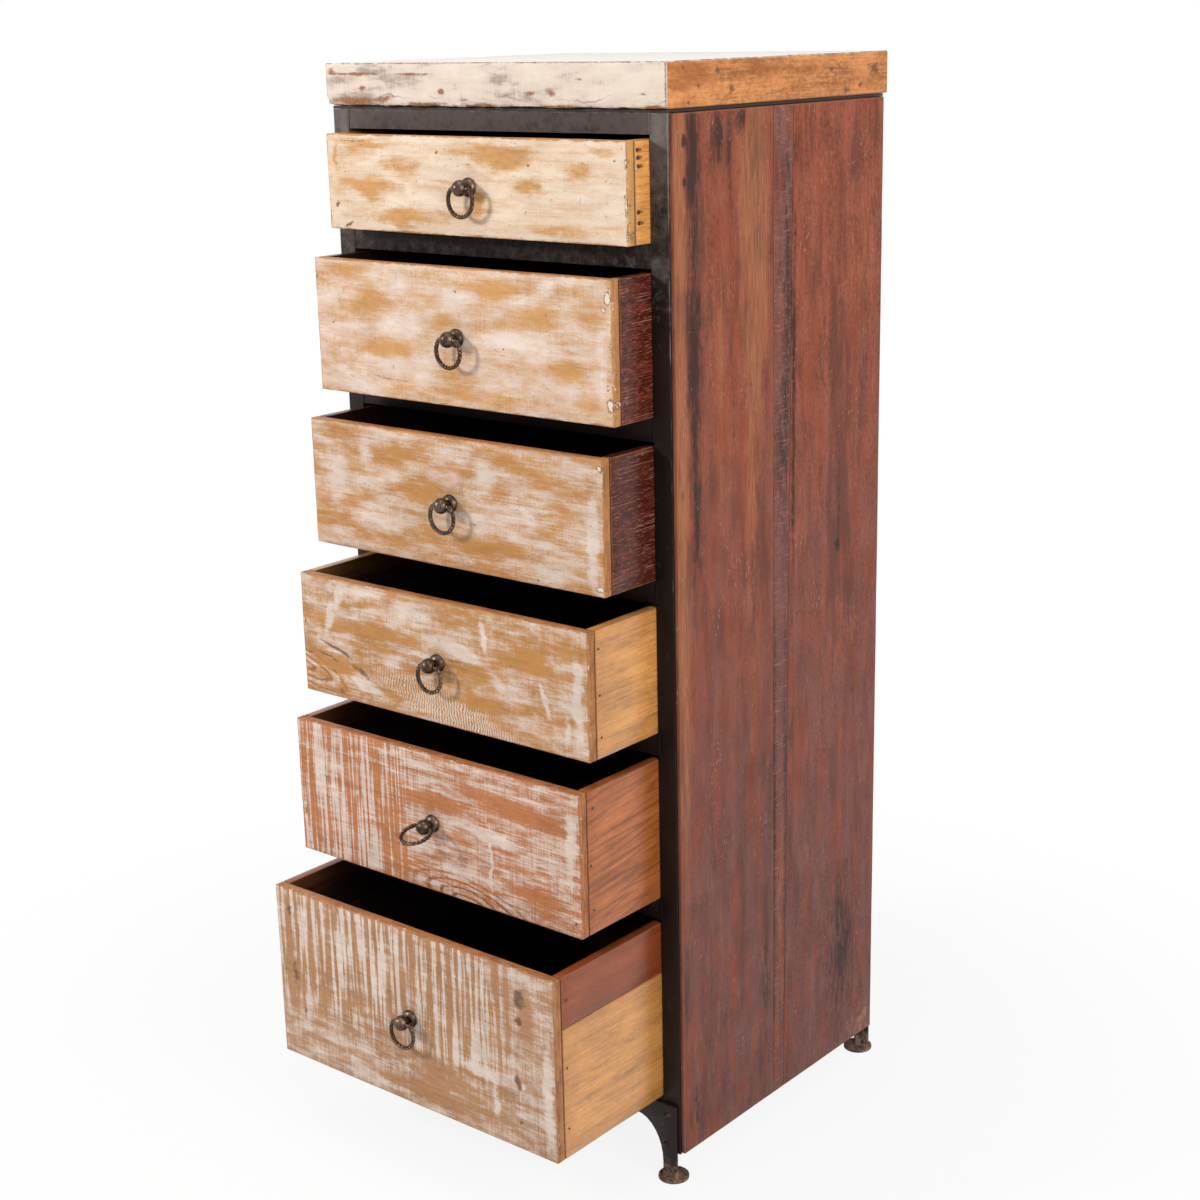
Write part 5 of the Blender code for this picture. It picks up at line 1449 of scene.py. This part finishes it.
class CHEST_OT_pulls(bpy.types.Operator):
    """Builds the six pulls: domed rose, ball and twisted ring"""

    bl_idname = "chest.pulls"
    bl_label = "Pulls"

    def execute(self, context):
        sizes = context.scene.chest_sizes
        finish = pull_finish(context.scene.chest_colours)
        low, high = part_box("pull_1_stud")
        gap, ball_radius = 0.0003, 0.0085
        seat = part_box("drawer_1_front")[0].y - gap
        ball = low.y + ball_radius
        stud = self.stud(sizes, seat - ball, high.y - ball, ball_radius)
        ring = self.ring()
        for number in range(1, 7):
            low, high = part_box(f"pull_{number}_stud")
            pin = Vector(((low.x + high.x) / 2, low.y + ball_radius, (low.z + high.z) / 2))
            piece = copied(f"pull_{number}_turned_stud", stud, [Matrix.Translation(pin)])
            settle(piece, f"drawer_{number}", "pull_iron", [f"pull_{number}_stud"], finish)
            swing = math.radians(RAISED.get(number, 0.0))
            place = Matrix.Translation(pin) @ Matrix.Rotation(swing, 4, "X")
            piece = copied(f"pull_{number}_twisted_ring", ring, [place])
            settle(piece, f"ring_{number}", "pull_iron", [f"pull_{number}_ring"], finish)
        bpy.data.objects.remove(stud, do_unlink=True)
        bpy.data.objects.remove(ring, do_unlink=True)
        return {"FINISHED"}

    def stud(self, sizes, seat, tail, radius):
        """Rose, stem, ball, shank and rivet head in one turning, the drilled ball at the origin."""
        rise, rose = sizes.rose_rise, sizes.rose_radius
        shank, stem, lip, hole = 0.0025, 0.0042, 0.0016, 0.0027
        inside = tail - 0.0020
        profile = [(0.0, tail), (0.0040, tail), (0.0058, tail - 0.0006), (0.0060, inside), (shank, inside)]
        profile += [(shank, seat), (rose, seat), (rose + 0.0003, seat - lip / 2), (rose, seat - lip)]
        for i in range(1, 6):
            angle = math.radians(15.0 * i)
            profile.append((rose * math.cos(angle), seat - lip - (rise - lip) * math.sin(angle)))
        first = math.asin(stem / radius)
        profile.append((stem, seat - rise))
        steps = 12
        for i in range(steps + 1):
            angle = first + (math.pi - first) * i / steps
            profile.append((radius * math.sin(angle) if i < steps else 0.0, radius * math.cos(angle)))
        stud = turned("stud_master", profile, 32)
        deselect()
        turn = (0.0, math.pi / 2, 0.0)
        bpy.ops.mesh.primitive_cylinder_add(vertices=16, radius=hole, depth=0.04, rotation=turn)
        cut_away(stud, bpy.context.object)
        return stud

    def ring(self):
        """A lobed bar, twisted, then bent round into a straight pin through the ball and a loop below it."""
        radius, half, drop, wire = 0.0168, 0.0114, 0.01234, 0.0023
        pin, arc, twists = 8, 72, 6
        start = math.atan2(drop, half)
        sweep = math.pi + 2 * start
        path = [Vector((half * (i / pin), 0.0, 0.0)) for i in range(pin)]
        for i in range(arc + 1):
            angle = start - sweep * i / arc
            path.append(Vector((radius * math.cos(angle), 0.0, radius * math.sin(angle) - drop)))
        path += [Vector((-half * (1 - i / pin), 0.0, 0.0)) for i in range(1, pin)]
        for _ in range(3):
            count = len(path)
            path = [(path[i - 1] + 2 * path[i] + path[(i + 1) % count]) / 4 for i in range(count)]
        length = sum((path[i] - path[i - 1]).length for i in range(len(path)))
        line = bpy.data.curves.new("ring_line", "CURVE")
        line.dimensions = "3D"
        spline = line.splines.new("POLY")
        spline.points.add(len(path) - 1)
        for point, co in zip(spline.points, path):
            point.co = (*co, 1.0)
        spline.use_cyclic_u = True
        guide = bpy.data.objects.new("ring_line", line)
        bpy.context.scene.collection.objects.link(guide)

        deselect()
        bpy.ops.mesh.primitive_circle_add(vertices=12, radius=wire, rotation=(0.0, math.pi / 2, 0.0))
        bar = named("ring_master")
        bpy.ops.object.mode_set(mode="EDIT")
        choose(bar, "VERT", lambda v: round(math.degrees(math.atan2(v.co.z, v.co.y)) / 30) % 3 == 0)
        bpy.ops.transform.resize(value=(1.0, 0.64, 0.64))
        bpy.ops.object.mode_set(mode="OBJECT")
        applied(
            bar, "SCREW", axis="X", angle=2 * math.pi * twists, screw_offset=length, steps=180,
            render_steps=180, use_merge_vertices=False, use_smooth_shade=True,
        )
        applied(bar, "CURVE", object=guide, deform_axis="POS_X")
        bpy.data.objects.remove(guide, do_unlink=True)
        take(bar)
        bpy.ops.object.mode_set(mode="EDIT")
        bpy.ops.mesh.select_all(action="SELECT")
        bpy.ops.mesh.remove_doubles(threshold=0.00005)
        bpy.ops.mesh.normals_make_consistent(inside=False)
        bpy.ops.object.mode_set(mode="OBJECT")
        return bar


# Softboxes: name, place, target, width in metres and power in watts
LAMPS = (
    ("key_softbox", (-1.75, -2.25, 1.95), (0.0, 0.0, 0.75), 0.5, 53.0),
    ("side_softbox", (2.7, -0.7, 1.7), (0.1, 0.1, 0.65), 1.6, 46.0),
    ("top_softbox", (0.2, -0.4, 3.2), (0.0, 0.0, 0.8), 1.6, 18.0),
)

# Where the camera stands, and how far it looks down, turns and rolls, in degrees
CAMERA_PLACE = (1.46685, -1.7068, 1.2428)
CAMERA_TURN = (15.7201, 39.7072, -1.2975)


class CHEST_OT_stage(bpy.types.Operator):
    """Builds the floor, the soft studio light and the camera"""

    bl_idname = "chest.stage"
    bl_label = "Stage"

    def execute(self, context):
        scene = context.scene
        deselect()
        bpy.ops.mesh.primitive_circle_add(vertices=96, radius=7.0, fill_type="NGON")
        floor = named("studio_floor")
        floor.data.materials.append(floor_finish())

        world = bpy.data.worlds.new("studio_air")
        scene.world = world
        world.use_nodes = True
        tree = world.node_tree
        tree.nodes.clear()
        air = add(tree, "Background", {"Color": WHITE, "Strength": 0.32})
        white = add(tree, "Background", {"Color": WHITE, "Strength": 1.0})
        mixed = add(tree, "MixShader", {0: seen_rays(tree), 1: air, 2: white})
        add(tree, "OutputWorld", {"Surface": mixed})

        for lamp in LAMPS:
            self.lamp(*lamp)

        # The camera stands to the right of the chest at about head height, rolled a little
        lens = bpy.data.cameras.new("photographer")
        camera = bpy.data.objects.new("photographer", lens)
        scene.collection.objects.link(camera)
        down, side, roll = (math.radians(angle) for angle in CAMERA_TURN)
        turn = Euler((math.pi / 2 - down, 0.0, side)).to_matrix() @ Matrix.Rotation(roll, 3, "Z")
        camera.matrix_world = Matrix.Translation(CAMERA_PLACE) @ turn.to_4x4()
        lens.sensor_width = 36.0
        lens.lens = 61.90
        lens.clip_start = 0.05
        lens.clip_end = 100.0
        scene.camera = camera
        scene.view_settings.view_transform = "Standard"
        return {"FINISHED"}

    def lamp(self, name, place, target, size, power):
        """A square softbox at a place, turned to a target."""
        deselect()
        aim = (Vector(target) - Vector(place)).to_track_quat("-Z", "Y").to_euler()
        bpy.ops.object.light_add(type="AREA", location=place, rotation=aim)
        lamp = bpy.context.object
        lamp.name = name
        lamp.data.size = size
        lamp.data.energy = power


OPERATORS = (
    CHEST_OT_stage, CHEST_OT_top_slab, CHEST_OT_side_boards, CHEST_OT_back_planks, CHEST_OT_iron_frame,
    CHEST_OT_feet, CHEST_OT_drawers, CHEST_OT_pulls,
)


class CHEST_PT_sidebar(bpy.types.Panel):
    """Lists the steps and values of the chest of drawers"""

    bl_idname = "CHEST_PT_sidebar"
    bl_label = "Chest of drawers"
    bl_space_type = "VIEW_3D"
    bl_region_type = "UI"
    bl_category = "Chest"

    def draw(self, context):
        for operator in OPERATORS:
            self.layout.operator(operator.bl_idname)
        for group in (context.scene.chest_sizes, context.scene.chest_colours):
            box = self.layout.box()
            for key in group.__annotations__:
                box.prop(group, key)


CLASSES = (ChestSizes, ChestColours) + OPERATORS + (CHEST_PT_sidebar,)


def register():
    for kind in CLASSES:
        bpy.utils.register_class(kind)
    bpy.types.Scene.chest_sizes = PointerProperty(type=ChestSizes)
    bpy.types.Scene.chest_colours = PointerProperty(type=ChestColours)


def unregister():
    del bpy.types.Scene.chest_colours
    del bpy.types.Scene.chest_sizes
    for kind in reversed(CLASSES):
        bpy.utils.unregister_class(kind)


def main():
    """Registers the add-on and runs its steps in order."""
    register()
    bpy.ops.chest.stage()
    bpy.ops.chest.top_slab()
    bpy.ops.chest.side_boards()
    bpy.ops.chest.back_planks()
    bpy.ops.chest.iron_frame()
    bpy.ops.chest.feet()
    bpy.ops.chest.drawers()
    bpy.ops.chest.pulls()


if __name__ == "__main__":
    main()
